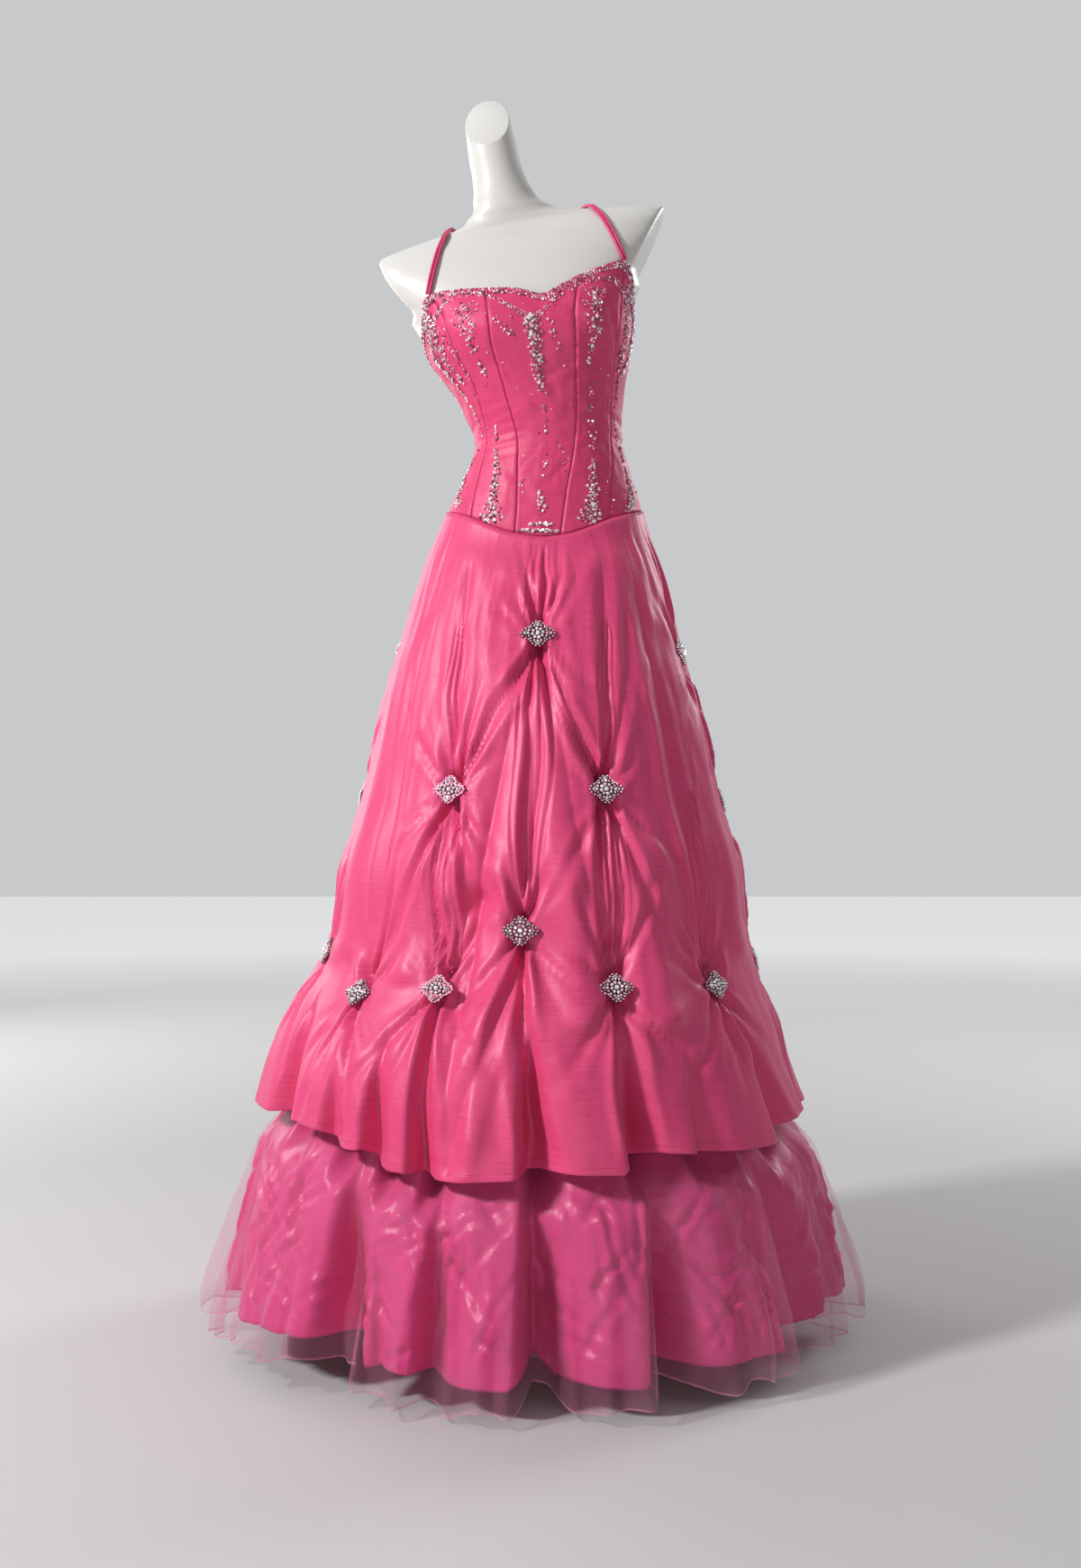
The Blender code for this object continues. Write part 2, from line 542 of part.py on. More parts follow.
def add_object(name, bm, material, collection, smooth=True):
    mesh = bpy.data.meshes.new(name)
    bm.to_mesh(mesh)
    bm.free()
    if smooth:
        mesh.shade_smooth()
        mesh.set_sharp_from_angle(angle=math.radians(50))
    mesh.materials.append(material)
    thing = bpy.data.objects.new(name, mesh)
    collection.objects.link(thing)
    return thing


def cloth_piece(name, columns, rows, place, material, collection):
    # A flat slab of cells with corners (across, down, depth), laid onto its surface.
    bm = bmesh.new()
    bmesh.ops.create_grid(bm, x_segments=columns, y_segments=rows, size=0.5)
    bmesh.ops.triangulate(bm, faces=bm.faces[:], quad_method="FIXED")
    front = bmesh.ops.extrude_face_region(bm, geom=bm.faces[:])["geom"]
    front_verts = [item for item in front if isinstance(item, bmesh.types.BMVert)]
    bmesh.ops.translate(bm, verts=front_verts, vec=(0.0, 0.0, 1.0))
    bmesh.ops.recalc_face_normals(bm, faces=bm.faces[:])
    bm.verts.ensure_lookup_table()
    corners = np.array([vert.co[:] for vert in bm.verts])
    points = place(corners[:, 0] + 0.5, 0.5 - corners[:, 1], corners[:, 2])
    for vert, point in zip(bm.verts, points):
        vert.co = point
    return add_object(name, bm, material, collection)


def closed_loft(columns, rows, place):
    # A tube of rings with flat ends, as a bmesh.
    bm = bmesh.new()
    bmesh.ops.create_grid(bm, x_segments=columns, y_segments=rows, size=0.5)
    bm.verts.ensure_lookup_table()
    corners = np.array([vert.co[:] for vert in bm.verts])
    points = place(corners[:, 0] + 0.5, corners[:, 1] + 0.5)
    for vert, point in zip(bm.verts, points):
        vert.co = point
    bmesh.ops.remove_doubles(bm, verts=bm.verts[:], dist=MERGE_DISTANCE)
    bmesh.ops.holes_fill(bm, edges=[edge for edge in bm.edges if edge.is_boundary])
    bmesh.ops.recalc_face_normals(bm, faces=bm.faces[:])
    return bm


def cut_flat(bm, point, normal):
    bmesh.ops.bisect_plane(
        bm,
        geom=bm.verts[:] + bm.edges[:] + bm.faces[:],
        plane_co=point,
        plane_no=normal,
        clear_outer=True,
    )
    bmesh.ops.holes_fill(bm, edges=[edge for edge in bm.edges if edge.is_boundary])
    bmesh.ops.recalc_face_normals(bm, faces=bm.faces[:])


def build_form(materials, collection):
    upper = FORM_RINGS["level"][FORM_RINGS["level"] > FORM_UPPER_START]
    levels = np.concatenate((FORM_LOW_ROWS, np.linspace(*FORM_EVEN_ROWS), upper))
    steps = np.linspace(0, 1, len(levels))

    def place(round_part, up_part):
        return form_surface(round_part * 360.0 - 180.0, np.interp(up_part, steps, levels))

    bm = closed_loft(COLUMNS_PER_TURN["form"], len(levels) - 1, place)
    cut_flat(bm, NECK_CUT_POINT, Vector(NECK_CUT_NORMAL).normalized())
    torso = add_object("form_torso", bm, materials["form"], collection)

    foot = bmesh.new()
    bmesh.ops.create_cone(
        foot,
        cap_ends=True,
        segments=FOOT_SIDES,
        radius1=FOOT_RADIUS,
        radius2=FOOT_RADIUS,
        depth=FOOT_THICKNESS,
        matrix=Matrix.Translation((0, 0, FOOT_THICKNESS / 2)),
    )
    middle = FOOT_THICKNESS / 2
    rim = [edge for edge in foot.edges if all(vert.co.z > middle for vert in edge.verts)]
    bmesh.ops.bevel(
        foot,
        geom=rim,
        offset=FOOT_BEVEL,
        segments=2,
        profile=0.5,
        affect="EDGES",
        material=-1,
    )
    add_object("form_foot", foot, materials["stand"], collection)

    pole_length = FORM_BOTTOM - FOOT_THICKNESS - 2 * SEAM_GAP
    pole = bmesh.new()
    bmesh.ops.create_cone(
        pole,
        cap_ends=True,
        segments=POLE_SIDES,
        radius1=POLE_RADIUS,
        radius2=POLE_RADIUS,
        depth=pole_length,
    )
    pole_object = add_object("form_pole", pole, materials["stand"], collection)
    pole_object.location.z = FOOT_THICKNESS + SEAM_GAP + pole_length / 2
    return torso


def bodice_panel(name, left, right, materials, collection):
    # left and right give the azimuth of the panel's seams at a level.
    gap = math.degrees(SEAM_GAP / 2 / BODICE_RADIUS)

    def place(across, down, depth):
        level = np.full_like(across, BODICE_MIDDLE)
        for _ in range(EDGE_PASSES):
            start = left(level)
            end = right(level)
            azimuth = (start + gap) + (end - start - 2 * gap) * across
            top = edge_level(BODICE_TOP, azimuth)
            bottom = edge_level(BODICE_HEM, azimuth)
            level = top + (bottom - top) * down
        lift = FORM_EASE + BODICE_WALL * depth
        return lifted(form_surface, azimuth, level, lift)

    middle = np.array([BODICE_MIDDLE])
    span = float(right(middle)[0] - left(middle)[0])
    columns = max(3, round(span * COLUMNS_PER_TURN["bodice"] / 360))
    return cloth_piece(name, columns, BODICE_ROWS, place, materials["bodice"], collection)


def upright(azimuth):
    return lambda level: np.full_like(level, azimuth)


def seam_line(seam):
    return lambda level: smooth_read(seam, "level", "azimuth", level)


def build_bodice(materials, collection):
    seams = (
        ("bodice_back_left", upright(-BACK_AZIMUTH), upright(-SIDE_AZIMUTH)),
        ("bodice_side_left", upright(-SIDE_AZIMUTH), seam_line(SIDE_FRONT_LEFT)),
        ("bodice_side_front_left", seam_line(SIDE_FRONT_LEFT), seam_line(PRINCESS_LEFT)),
        ("bodice_front_centre", seam_line(PRINCESS_LEFT), seam_line(PRINCESS_RIGHT)),
        ("bodice_side_front_right", seam_line(PRINCESS_RIGHT), seam_line(SIDE_FRONT_RIGHT)),
        ("bodice_side_right", seam_line(SIDE_FRONT_RIGHT), upright(SIDE_AZIMUTH)),
        ("bodice_back_right", upright(SIDE_AZIMUTH), upright(BACK_AZIMUTH)),
    )
    for name, left, right in seams:
        bodice_panel(name, left, right, materials, collection)


def skirt_piece(name, surface, spans, wall, level_at, cells, material, collection):
    # spans are the azimuths of its two seams, level_at gives a level by azimuth and fall.
    def place(across, down, depth):
        azimuth = spans[0] + (spans[1] - spans[0]) * across
        level = level_at(azimuth, down)
        radius = smooth_read(OVERSKIRT_RINGS, "level", "half_width", level)
        azimuth = azimuth + np.degrees(SKIRT_SEAM_GAP / radius) * (0.5 - across)
        return lifted(surface, azimuth, level, -wall * (1 - depth))

    return cloth_piece(name, cells[0], cells[1], place, material, collection)


def overskirt_level(azimuth, down):
    top = edge_level(BODICE_HEM, azimuth) - SEAM_GAP * 2
    return top + (hem_level(OVERSKIRT_HEM, azimuth) - top) * down


def underskirt_level(azimuth, down):
    top = edge_level(BODICE_HEM, azimuth) - SEAM_GAP * 2
    share = np.interp(down, np.linspace(0, 1, len(UNDERSKIRT_ROWS)), UNDERSKIRT_ROWS)
    return top + (hem_level(UNDERSKIRT_HEM, azimuth) - top) * share


def tulle_level(azimuth, down):
    # The underskirt's lower rows, then one more below its hem.
    rows = len(UNDERSKIRT_ROWS) - 1
    row = TULLE_FIRST_ROW + down * (rows + 1 - TULLE_FIRST_ROW)
    level = underskirt_level(azimuth, np.minimum(row / rows, 1.0))
    return level - TULLE_DROP * np.maximum(row - rows, 0.0)


def build_skirts(materials, collection):
    right_seam, left_seam = SKIRT_SIDE_SEAMS
    thirds = (
        ("front", left_seam, right_seam),
        ("back_right", right_seam, BACK_AZIMUTH),
        ("back_left", BACK_AZIMUTH, left_seam + 360.0),
    )
    under_rows = len(UNDERSKIRT_ROWS) - 1
    overskirt = []
    under_columns = []
    for side, start, end in thirds:
        turn = (end - start) / 360
        under_columns.append(round(COLUMNS_PER_TURN["underskirt"] * turn))
        overskirt.append(
            skirt_piece(
                f"overskirt_{side}", overskirt_surface, (start, end), SKIRT_WALL,
                overskirt_level,
                (round(COLUMNS_PER_TURN["overskirt"] * turn), OVERSKIRT_ROWS),
                materials["taffeta"], collection,
            )
        )
        skirt_piece(
            f"underskirt_{side}", underskirt_surface, (start, end), SKIRT_WALL,
            underskirt_level, (under_columns[-1], under_rows),
            materials["underskirt"], collection,
        )
    # Two tulle pieces, with the underskirt's own columns.
    tulle_rows = under_rows + 1 - TULLE_FIRST_ROW
    front_columns, back_right, back_left = under_columns
    skirt_piece(
        "tulle_front", tulle_surface, (left_seam, right_seam), TULLE_WALL, tulle_level,
        (front_columns, tulle_rows), materials["tulle"], collection,
    )
    skirt_piece(
        "tulle_back", tulle_surface, (right_seam, left_seam + 360.0), TULLE_WALL,
        tulle_level, (back_right + back_left, tulle_rows), materials["tulle"], collection,
    )
    return overskirt


def surface_tree(things):
    # One search tree over the facets of several objects at the origin.
    verts = []
    faces = []
    for thing in things:
        first = len(verts)
        verts += [vert.co.copy() for vert in thing.data.vertices]
        faces += [[first + place for place in face.vertices] for face in thing.data.polygons]
    return BVHTree.FromPolygons(verts, faces)


def brooch_mesh(name, material):
    # A lozenge plate with a bevelled face, its back in the XY plane.
    bm = bmesh.new()
    bmesh.ops.create_cone(
        bm,
        cap_ends=True,
        segments=BROOCH_SIDES,
        radius1=0.5,
        radius2=0.5 * BROOCH_FACE_SHARE,
        depth=BROOCH_THICKNESS,
        matrix=Matrix.Translation((0, 0, BROOCH_THICKNESS / 2)),
    )
    for vert in bm.verts:
        angle = math.atan2(vert.co.y, vert.co.x)
        reach = 1 - BROOCH_WAIST + BROOCH_WAIST * math.cos(4 * angle)
        vert.co.x *= BROOCH_WIDTH * reach
        vert.co.y *= BROOCH_HEIGHT * reach
    bmesh.ops.recalc_face_normals(bm, faces=bm.faces[:])
    mesh = bpy.data.meshes.new(name)
    bm.to_mesh(mesh)
    bm.free()
    mesh.materials.append(material)
    return mesh


def build_brooches(skirt_pieces, materials, collection):
    tree = surface_tree(skirt_pieces)
    mesh = brooch_mesh("brooch", materials["brooch"])
    for row in range(len(GATHERS["azimuth"])):
        azimuth = np.array([GATHERS["azimuth"][row]])
        level = np.array([GATHERS["level"][row]])
        centre = Vector(overskirt_surface(azimuth, level)[0])
        facing = Vector(skirt_facing(azimuth[0], level[0]))
        across = Vector((0, 0, 1)).cross(facing).normalized()
        up = facing.cross(across)
        axes = Matrix((across, up, facing)).transposed()
        # It rests on the highest facet behind it.
        height = 0.0
        for step_x in np.linspace(-0.5, 0.5, BROOCH_PROBES):
            for step_y in np.linspace(-0.5, 0.5, BROOCH_PROBES):
                if abs(step_x) + abs(step_y) > BROOCH_PROBE_SHARE:
                    continue
                spot = centre + across * step_x * BROOCH_WIDTH + up * step_y * BROOCH_HEIGHT
                above = spot + facing * PROBE_REACH
                hit = tree.ray_cast(above, -facing, 2 * PROBE_REACH)[0]
                if hit is not None:
                    height = max(height, (hit - centre).dot(facing))
        brooch = bpy.data.objects.new(f"brooch_{row + 1:02d}", mesh)
        collection.objects.link(brooch)
        seat = centre + facing * (height + BROOCH_SEAT)
        brooch.matrix_world = Matrix.Translation(seat) @ axes.to_4x4()


def skirt_facing(azimuth, level):
    # The way the smooth skirt faces, with its folds left out.
    def smooth_skirt(turn, height):
        return skirt_ring(OVERSKIRT_RINGS, turn, height)

    low = lifted(smooth_skirt, np.array([azimuth]), np.array([level]), np.array([0.0]))
    high = lifted(smooth_skirt, np.array([azimuth]), np.array([level]), np.array([1.0]))
    return (high - low)[0]


def taut_route(tree, start, over, end):
    # A strap pulled over the form from start to end through the plan line of over: each
    # pass shortens it, then lifts it clear of the form.
    clear = STRAP_HALF_THICKNESS + STRAP_EASE
    route = []
    for first, last in ((start, over), (over, end)):
        route += [first.lerp(last, step / STRAP_STEPS) for step in range(STRAP_STEPS)]
    route.append(end.copy())
    for _ in range(STRAP_PASSES):
        for place in range(1, len(route) - 1):
            point = route[place]
            middle = (route[place - 1] + route[place + 1]) / 2
            point.y = middle.y
            point.z = middle.z
            near, normal = tree.find_nearest(point)[:2]
            gap = (point - near).dot(normal)
            if gap < clear:
                upright_normal = Vector((0, normal.y, normal.z)).normalized()
                point += upright_normal * (clear - gap)
    return route


def even_points(route, count):
    lengths = [0.0]
    for before, after in zip(route, route[1:]):
        lengths.append(lengths[-1] + (after - before).length)
    places = np.linspace(0, lengths[-1], count)
    axes = [np.interp(places, lengths, [point[axis] for point in route]) for axis in range(3)]
    return [Vector(values) for values in zip(*axes)]


def build_strap(name, route, tree, materials, collection):
    centres = even_points(route, STRAP_RINGS)

    def place(round_part, along_part):
        points = []
        for turn, part in zip(round_part, along_part):
            step = round(part * (STRAP_RINGS - 1))
            centre = centres[step]
            ahead = centres[min(step + 1, STRAP_RINGS - 1)] - centres[max(step - 1, 0)]
            ahead.normalize()
            near = tree.find_nearest(centre)[0]
            away = centre - near
            across = ahead.cross(away).normalized()
            away = across.cross(ahead).normalized()
            angle = turn * 2 * math.pi
            offset = across * math.cos(angle) * STRAP_HALF_WIDTH
            offset += away * math.sin(angle) * STRAP_HALF_THICKNESS
            points.append(centre + offset)
        return np.array(points)

    bm = closed_loft(STRAP_SIDES, STRAP_RINGS - 1, place)
    return add_object(name, bm, materials["strap"], collection)


def build_straps(torso, materials, collection):
    tree = surface_tree([torso])
    lift = np.array([STRAP_HALF_THICKNESS + FORM_EASE])
    for name, front_azimuth, over, back_azimuth in STRAPS:
        points = []
        for azimuth in (front_azimuth, back_azimuth):
            turn = np.array([azimuth])
            top = edge_level(BODICE_TOP, turn) + STRAP_TOP_GAP
            points.append(Vector(lifted(form_surface, turn, top, lift)[0]))
        middle = Vector((over[0], over[1], SHOULDER_CLEAR_Z))
        route = taut_route(tree, points[0], middle, points[1])
        build_strap(name, route, tree, materials, collection)


def box_mesh(centre, size):
    bm = bmesh.new()
    scale = Matrix.Diagonal((*size, 1.0))
    bmesh.ops.create_cube(bm, size=1.0, matrix=Matrix.Translation(centre) @ scale)
    return bm


def rod_mesh(sides, radius, length, centre=(0, 0, 0)):
    # A rod along X.
    bm = bmesh.new()
    bmesh.ops.create_cone(
        bm,
        cap_ends=True,
        segments=sides,
        radius1=radius,
        radius2=radius,
        depth=length,
        matrix=Matrix.Translation(centre) @ Matrix.Rotation(math.pi / 2, 4, "Y"),
    )
    return bm


def join_tool(thing, name, bm, operation, material):
    # The tool stays in the cutters' collection and follows the piece.
    tool = add_object(name, bm, material, bpy.data.collections["cutters"], smooth=False)
    tool.hide_render = True
    tool.display_type = "WIRE"
    tool.parent = thing
    step = thing.modifiers.new(name, "BOOLEAN")
    step.operation = operation
    step.solver = "EXACT"
    step.object = tool


def build_zip(materials, collection):
    # The upright plate meets the leaning bodice at its top edge.
    turn = np.array([BACK_AZIMUTH])
    level = np.array([ZIP_SLIDER_LEVEL + ZIP_PLATE_HEIGHT / 2])
    wall = FORM_EASE + BODICE_WALL
    seat = Vector(lifted(form_surface, turn, level, np.array([wall]))[0])
    metal = materials["zip"]

    plate_size = (ZIP_PLATE_WIDTH, ZIP_PLATE_DEPTH, ZIP_PLATE_HEIGHT)
    slider = box_mesh((0, ZIP_PLATE_DEPTH / 2, 0), plate_size)
    plate = add_object("zip_slider", slider, metal, collection, smooth=False)
    ear_x = (ZIP_PLATE_WIDTH - ZIP_EAR_WIDTH) / 2
    ear_y = ZIP_PLATE_DEPTH + ZIP_EAR_DEPTH / 2 - ZIP_UNION_DEPTH
    ear_size = (ZIP_EAR_WIDTH, ZIP_EAR_DEPTH, ZIP_EAR_HEIGHT)
    for name, side in (("ear_left", -1), ("ear_right", 1)):
        ear = box_mesh((side * ear_x, ear_y, 0), ear_size)
        join_tool(plate, name, ear, "UNION", metal)
    bar_length = ZIP_PLATE_WIDTH - ZIP_EAR_WIDTH
    bar = rod_mesh(ZIP_BAR_SIDES, ZIP_BAR_RADIUS, bar_length, (0, ZIP_AXIS_OUT, 0))
    join_tool(plate, "zip_bar", bar, "UNION", metal)
    plate.location = (seat.x, seat.y + SEAM_GAP, ZIP_SLIDER_LEVEL)

    # The pull tab hangs from the bar: a ring round it, then a flat plate.
    ring = rod_mesh(PULL_RING_SIDES, PULL_RING_RADIUS, PULL_TAB_WIDTH)
    pull = add_object("zip_pull_tab", ring, metal, collection, smooth=False)
    blade_size = (PULL_TAB_WIDTH, PULL_TAB_DEPTH, PULL_TAB_LENGTH)
    blade = box_mesh((0, 0, -PULL_TAB_LENGTH / 2 - PULL_TAB_DROP), blade_size)
    join_tool(pull, "tab_blade", blade, "UNION", metal)
    hole = rod_mesh(PULL_HOLE_SIDES, PULL_HOLE_RADIUS, PULL_TAB_WIDTH * 2)
    join_tool(pull, "tab_hole", hole, "DIFFERENCE", metal)
    pull.location = plate.location + Vector((0, ZIP_AXIS_OUT, 0))


def main():
    for thing in list(bpy.data.objects):
        bpy.data.objects.remove(thing, do_unlink=True)
    collection = bpy.data.collections.new("evening_dress")
    bpy.context.scene.collection.children.link(collection)
    cutters = bpy.data.collections.new("cutters")
    bpy.context.scene.collection.children.link(cutters)
    materials = {
        "form": new_material("form_white", (0.80, 0.79, 0.77), 0.35),
        "stand": new_material("stand_metal", (0.55, 0.55, 0.56), 0.35, 1.0),
        "bodice": new_material("bodice_satin", (0.62, 0.06, 0.20), 0.42),
        "taffeta": new_material("taffeta", (0.80, 0.08, 0.25), 0.38),
        "underskirt": new_material("underskirt_taffeta", (0.74, 0.07, 0.27), 0.36),
        "tulle": new_material("tulle", (0.75, 0.25, 0.42), 0.80),
        "strap": new_material("strap_satin", (0.66, 0.06, 0.22), 0.45),
        "brooch": new_material("brooch_silver", (0.72, 0.70, 0.72), 0.22, 1.0),
        "zip": new_material("zip_metal", (0.60, 0.30, 0.38), 0.35, 1.0),
    }
    torso = build_form(materials, collection)
    build_bodice(materials, collection)
    overskirt = build_skirts(materials, collection)
    build_brooches(overskirt, materials, collection)
    build_straps(torso, materials, collection)
    build_zip(materials, collection)


main()
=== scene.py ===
# An a-line evening dress with a beaded bodice, a gathered overskirt held by jewelled
# brooches, a flared underskirt and a tulle overlay, on a smooth form without limbs.
# Metres, +Z up, the front faces -Y. An azimuth is in degrees from the front toward +X.
import math
import random

import bmesh
import bpy
import numpy as np
from mathutils import Matrix, Vector
from mathutils.bvhtree import BVHTree


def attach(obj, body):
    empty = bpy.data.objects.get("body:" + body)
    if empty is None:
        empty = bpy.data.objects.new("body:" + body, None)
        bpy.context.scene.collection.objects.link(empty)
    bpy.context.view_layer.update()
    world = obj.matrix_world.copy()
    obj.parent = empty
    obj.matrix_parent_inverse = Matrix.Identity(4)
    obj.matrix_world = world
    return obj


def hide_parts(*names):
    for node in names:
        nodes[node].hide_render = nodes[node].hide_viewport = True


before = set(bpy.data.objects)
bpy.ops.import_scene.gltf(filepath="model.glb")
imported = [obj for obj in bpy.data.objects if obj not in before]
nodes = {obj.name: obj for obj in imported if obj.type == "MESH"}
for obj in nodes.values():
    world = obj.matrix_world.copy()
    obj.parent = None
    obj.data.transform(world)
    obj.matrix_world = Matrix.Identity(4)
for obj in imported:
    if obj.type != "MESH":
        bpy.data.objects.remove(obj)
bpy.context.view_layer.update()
gown = "gown_on_form"

view = {"place": (0.011, -2.4, 0.70), "lens": 42.083, "sensor": 36.0}
studio = {
    "floor": (0.62, 0.61, 0.605),
    "floorHalf": 9.0,
    "floorLevel": -0.0004,
    "sky": (0.93, 0.94, 0.96),
    "skyStrength": 0.12,
    "backdrop": 0.62,
    "aim": (0, 0, 0.75),
    "key": {"at": (-2.6, -1.7, 2.5), "size": 0.45, "watts": 112.0},
    "fill": {"at": (0.2, -3.4, 1.1), "size": 1.2, "watts": 9.0},
    "rim": {"at": (2.2, 2.0, 2.2), "size": 1.0, "watts": 34.0},
    "back": {"at": (-2.2, 2.4, 1.6), "size": 1.6, "watts": 30.0},
    "overhead": {"at": (0.0, 0.6, 4.6), "size": 5.0, "watts": 34.0},
}
colours = {
    "taffeta": (0.80, 0.082, 0.232),
    "taffetaDeep": (0.64, 0.038, 0.140),
    "underskirt": (0.78, 0.045, 0.235),
    "underskirtDeep": (0.58, 0.024, 0.150),
    "bodice": (0.74, 0.056, 0.185),
    "bodiceDeep": (0.58, 0.034, 0.120),
    "tulle": (0.72, 0.22, 0.40),
    "strap": (0.62, 0.035, 0.150),
    "form": (0.66, 0.645, 0.625),
    "metal": (0.60, 0.60, 0.61),
    "zip": (0.55, 0.16, 0.26),
    "silver": (0.86, 0.82, 0.83),
    "broochEdge": (0.22, 0.05, 0.09),
    "highlight": (1.0, 0.80, 0.88, 1.0),
    "sheen": (1.0, 0.55, 0.70, 1.0),
}
# How the stones run from clear, their own colour, over rose, a painted reflection of the pink cloth, to
# dark wine, a painted shade: a place from 0 to 1, then a colour.
crystalAndPaintedReflectionTones = (
    (0.0, (0.97, 0.95, 0.96)), (1.0, (0.14, 0.02, 0.05)), (0.45, (0.80, 0.74, 0.77)),
    (0.62, (0.72, 0.28, 0.40)), (0.80, (0.42, 0.08, 0.16)),
)
form = {"columns": 144, "rows": 230, "ease": 0.0022, "armRound": 0.011, "armLevel": 1.322}
bodice = {
    "wall": 0.0010, "drag": 1.25, "columnsPerDegree": 0.62, "rows": 84, "seamGap": 0.0003,
    "sideSeam": 96.0, "radius": 0.11, "middle": 1.18, "groove": 0.0005, "ridge": 0.0003, "pucker": 0.0003,
}
skirts = {
    "wall": 0.0007, "seamGap": 0.0004, "topGap": 0.0006, "frontSeams": (-107.0, 103.0),
    "hips": 0.055, "flatTop": 0.045, "hemTurn": 0.0085, "hemProud": 0.0005, "stitch": 0.0034,
    "stitchShare": 0.68, "stitchSize": 0.0005, "stitchRadius": 0.365,
}
leftSeam, rightSeam = skirts["frontSeams"]
overskirtPiece = {"columnsPerDegree": 1.95, "rows": 112, "radius": 0.30, "ease": 0.0030}
underskirtPiece = {
    "columnsPerDegree": 2.15, "rows": 84, "hiddenRows": 14, "radius": 0.38, "ease": 0.0015,
    "creases": 420, "inset": 0.018, "openBelow": 0.055, "openOver": 0.050,
}
tullePiece = {
    "columnsPerDegree": 1.75, "rows": 46, "top": 0.325, "belowTaffeta": 0.022,
    "aboveFloor": 0.006, "hemWave": 0.006, "spreadFrom": 0.330, "off": 0.0040,
    "leastOff": 0.0026, "spread": 0.020, "flutes": 61, "flute": 0.0060,
}
fan = {"draw": 1.9, "broad": 0.5, "dip": 0.0060, "dipReach": 0.022, "swell": 0.0050,
       "swellReach": 0.060, "swellBelow": 0.085}
recess = {"overDepth": 1.95, "overWidth": 1.0, "underDepth": 1.60, "underWidth": 1.15,
          "steep": 0.32, "gradual": 1.55}
brooch = {
    "width": 0.044, "height": 0.036, "plate": 0.0018, "seat": 0.0002, "rimGrains": 26,
    "grain": 0.00135, "middleStone": 0.0036, "ringStones": 8, "ringStone": 0.0024,
    "ring": (0.0066, 0.0060), "cup": 1.12, "tilt": 0.35, "seed": 9,
}
beads = {
    "topSpacing": 0.0027, "topDrops": (0.0016, 0.0040, 0.0064, 0.0088), "rowSpacing": 0.0030,
    "rowDrops": (0.0, 0.0026, 0.0052), "radius": 0.00142,
    "sizes": (0.62, 0.75, 0.9, 0.9, 1.15, 1.4), "paintedShadeFrom": 0.66, "paintedReflectionFrom": 0.40,
    "more": 1.9, "loose": 150, "seed": 11,
}
strap = {"radius": 0.00195, "apart": 0.0021, "sides": 10, "steps": 92, "ringCorners": 6}

# The columns below that are lengths. The tables give them in millimetres.
lengthNames = set(
    "x y z level level1 level2 levelSpread height centreX centreY halfWidth front back lift"
    " lift1 lift2 depth rise length spacing width1 width2 tight wide half1 half2 radius".split()
)


def table(names, text):
    # Rows of numbers, with a comma or a line's end after each, read into named columns.
    names = names.split()
    words = text.replace(",", " ").split()
    columns = {}
    for place, name in enumerate(names):
        values = [float(word) for word in words[place :: len(names)]]
        if name in lengthNames:
            values = [round(value / 1000, 9) for value in values]
        columns[name] = np.array(values)
    return columns


def eachRow(columns):
    for row, values in enumerate(zip(*columns.values())):
        yield row, dict(zip(columns, map(float, values)))


# The form's sections, from the hips to the neck.
formRings = table("level centreX centreY halfWidth front back lean power", """
790 5 4 146 98 116 0 2, 900 9 4 150 101 122 0 2, 990 13 2 140.5 96 112 0 2,
1060 17.5 0 121.5 87 93 0.5 2, 1100 20 0 107 81 85 1 2, 1145 21.5 0 93.5 76 78 2 2,
1190 15 -1 101 82 83 3.5 2, 1225 9 -2 112.5 89 88 5 2, 1260 1 -2 128 94 93 7 2,
1295 -5 0 138 94 95 8.5 2, 1325 -8 3 152 88 93 9.5 2.1, 1355 -11.5 7 182 78 87 10.5 2.3,
1385 -15.5 11 208 67 78 11 2.4, 1407 -18 13 212 55 64 11 2.4, 1420 -20 14 200 42 50 11 2.3,
1429 -22.5 13 150 35 41 11 2.1, 1436 -26 11 90 35 39 11 2, 1450 -31 8 54 37 40 11 2,
1472 -38.5 5 39.5 37 38 11 2, 1495 -44.5 2 34 35 36 11 2, 1524 -51 -1 32.5 34 34 12 2,
1560 -58 -4 30 33 33 12 2, 1640 -73 -10 29 32 32 12 2
""")
bust = table("azimuth level lift azimuthSpread levelSpread", """
-27 1290 15 25 42, 39 1290 15 25 42
""")
neckCut = {"point": (-0.0617, 0.0, 1.571), "normal": (-0.366, -1.321, 1.0), "round": 0.0016}
armEnds = table("side x height perHeight perDepth", """
-1 -200 1372 -0.37 0.12, -1 -165 1324 -0.94 0.16, 1 154 1405 0.42 0.1
""")
# The overskirt and the underskirt without their folds.
overskirtRings = table("level centreX halfWidth front back", """
230 0 373 366 366, 287 -2.6 360 352 352, 322 -5.5 348 340 340, 358 -6 334 326 326,
393 -3 321 312 312, 429 0 304 294 294, 464 6 287 276 276, 499 9 275 262 262,
606 11.5 257 240 240, 676 11.5 236 219 221, 747 12 219 200 204, 818 11 202 179 187,
889 11 182 153 166, 960 14 163 127 142, 1013 14.5 145 106 120, 1060 15.7 129 95 102
""")
underskirtRings = table("level centreX halfWidth front back", """
0 2 414 410 410, 75 3 405 400 400, 145 4 388 382 382, 216 4 368 362 362, 252 3 353 347 347,
290 0 336 329 329, 360 0 303 295 295, 460 5 252 240 240, 600 11 226 210 211,
750 12 186 169 173, 890 12 159 129 142, 990 13 147.5 108 122, 1060 15.7 126.5 92 98
""")
bodiceTop = table("azimuth level", """
-180 1236, -140 1242, -110 1262, -88 1286, -66 1315, -52 1337, -42 1346, -30 1343, -18 1335,
-4 1326, 8 1313, 20 1327, 32 1339, 45 1346, 57 1335, 70 1309, 88 1282, 110 1262, 140 1242,
180 1236
""")
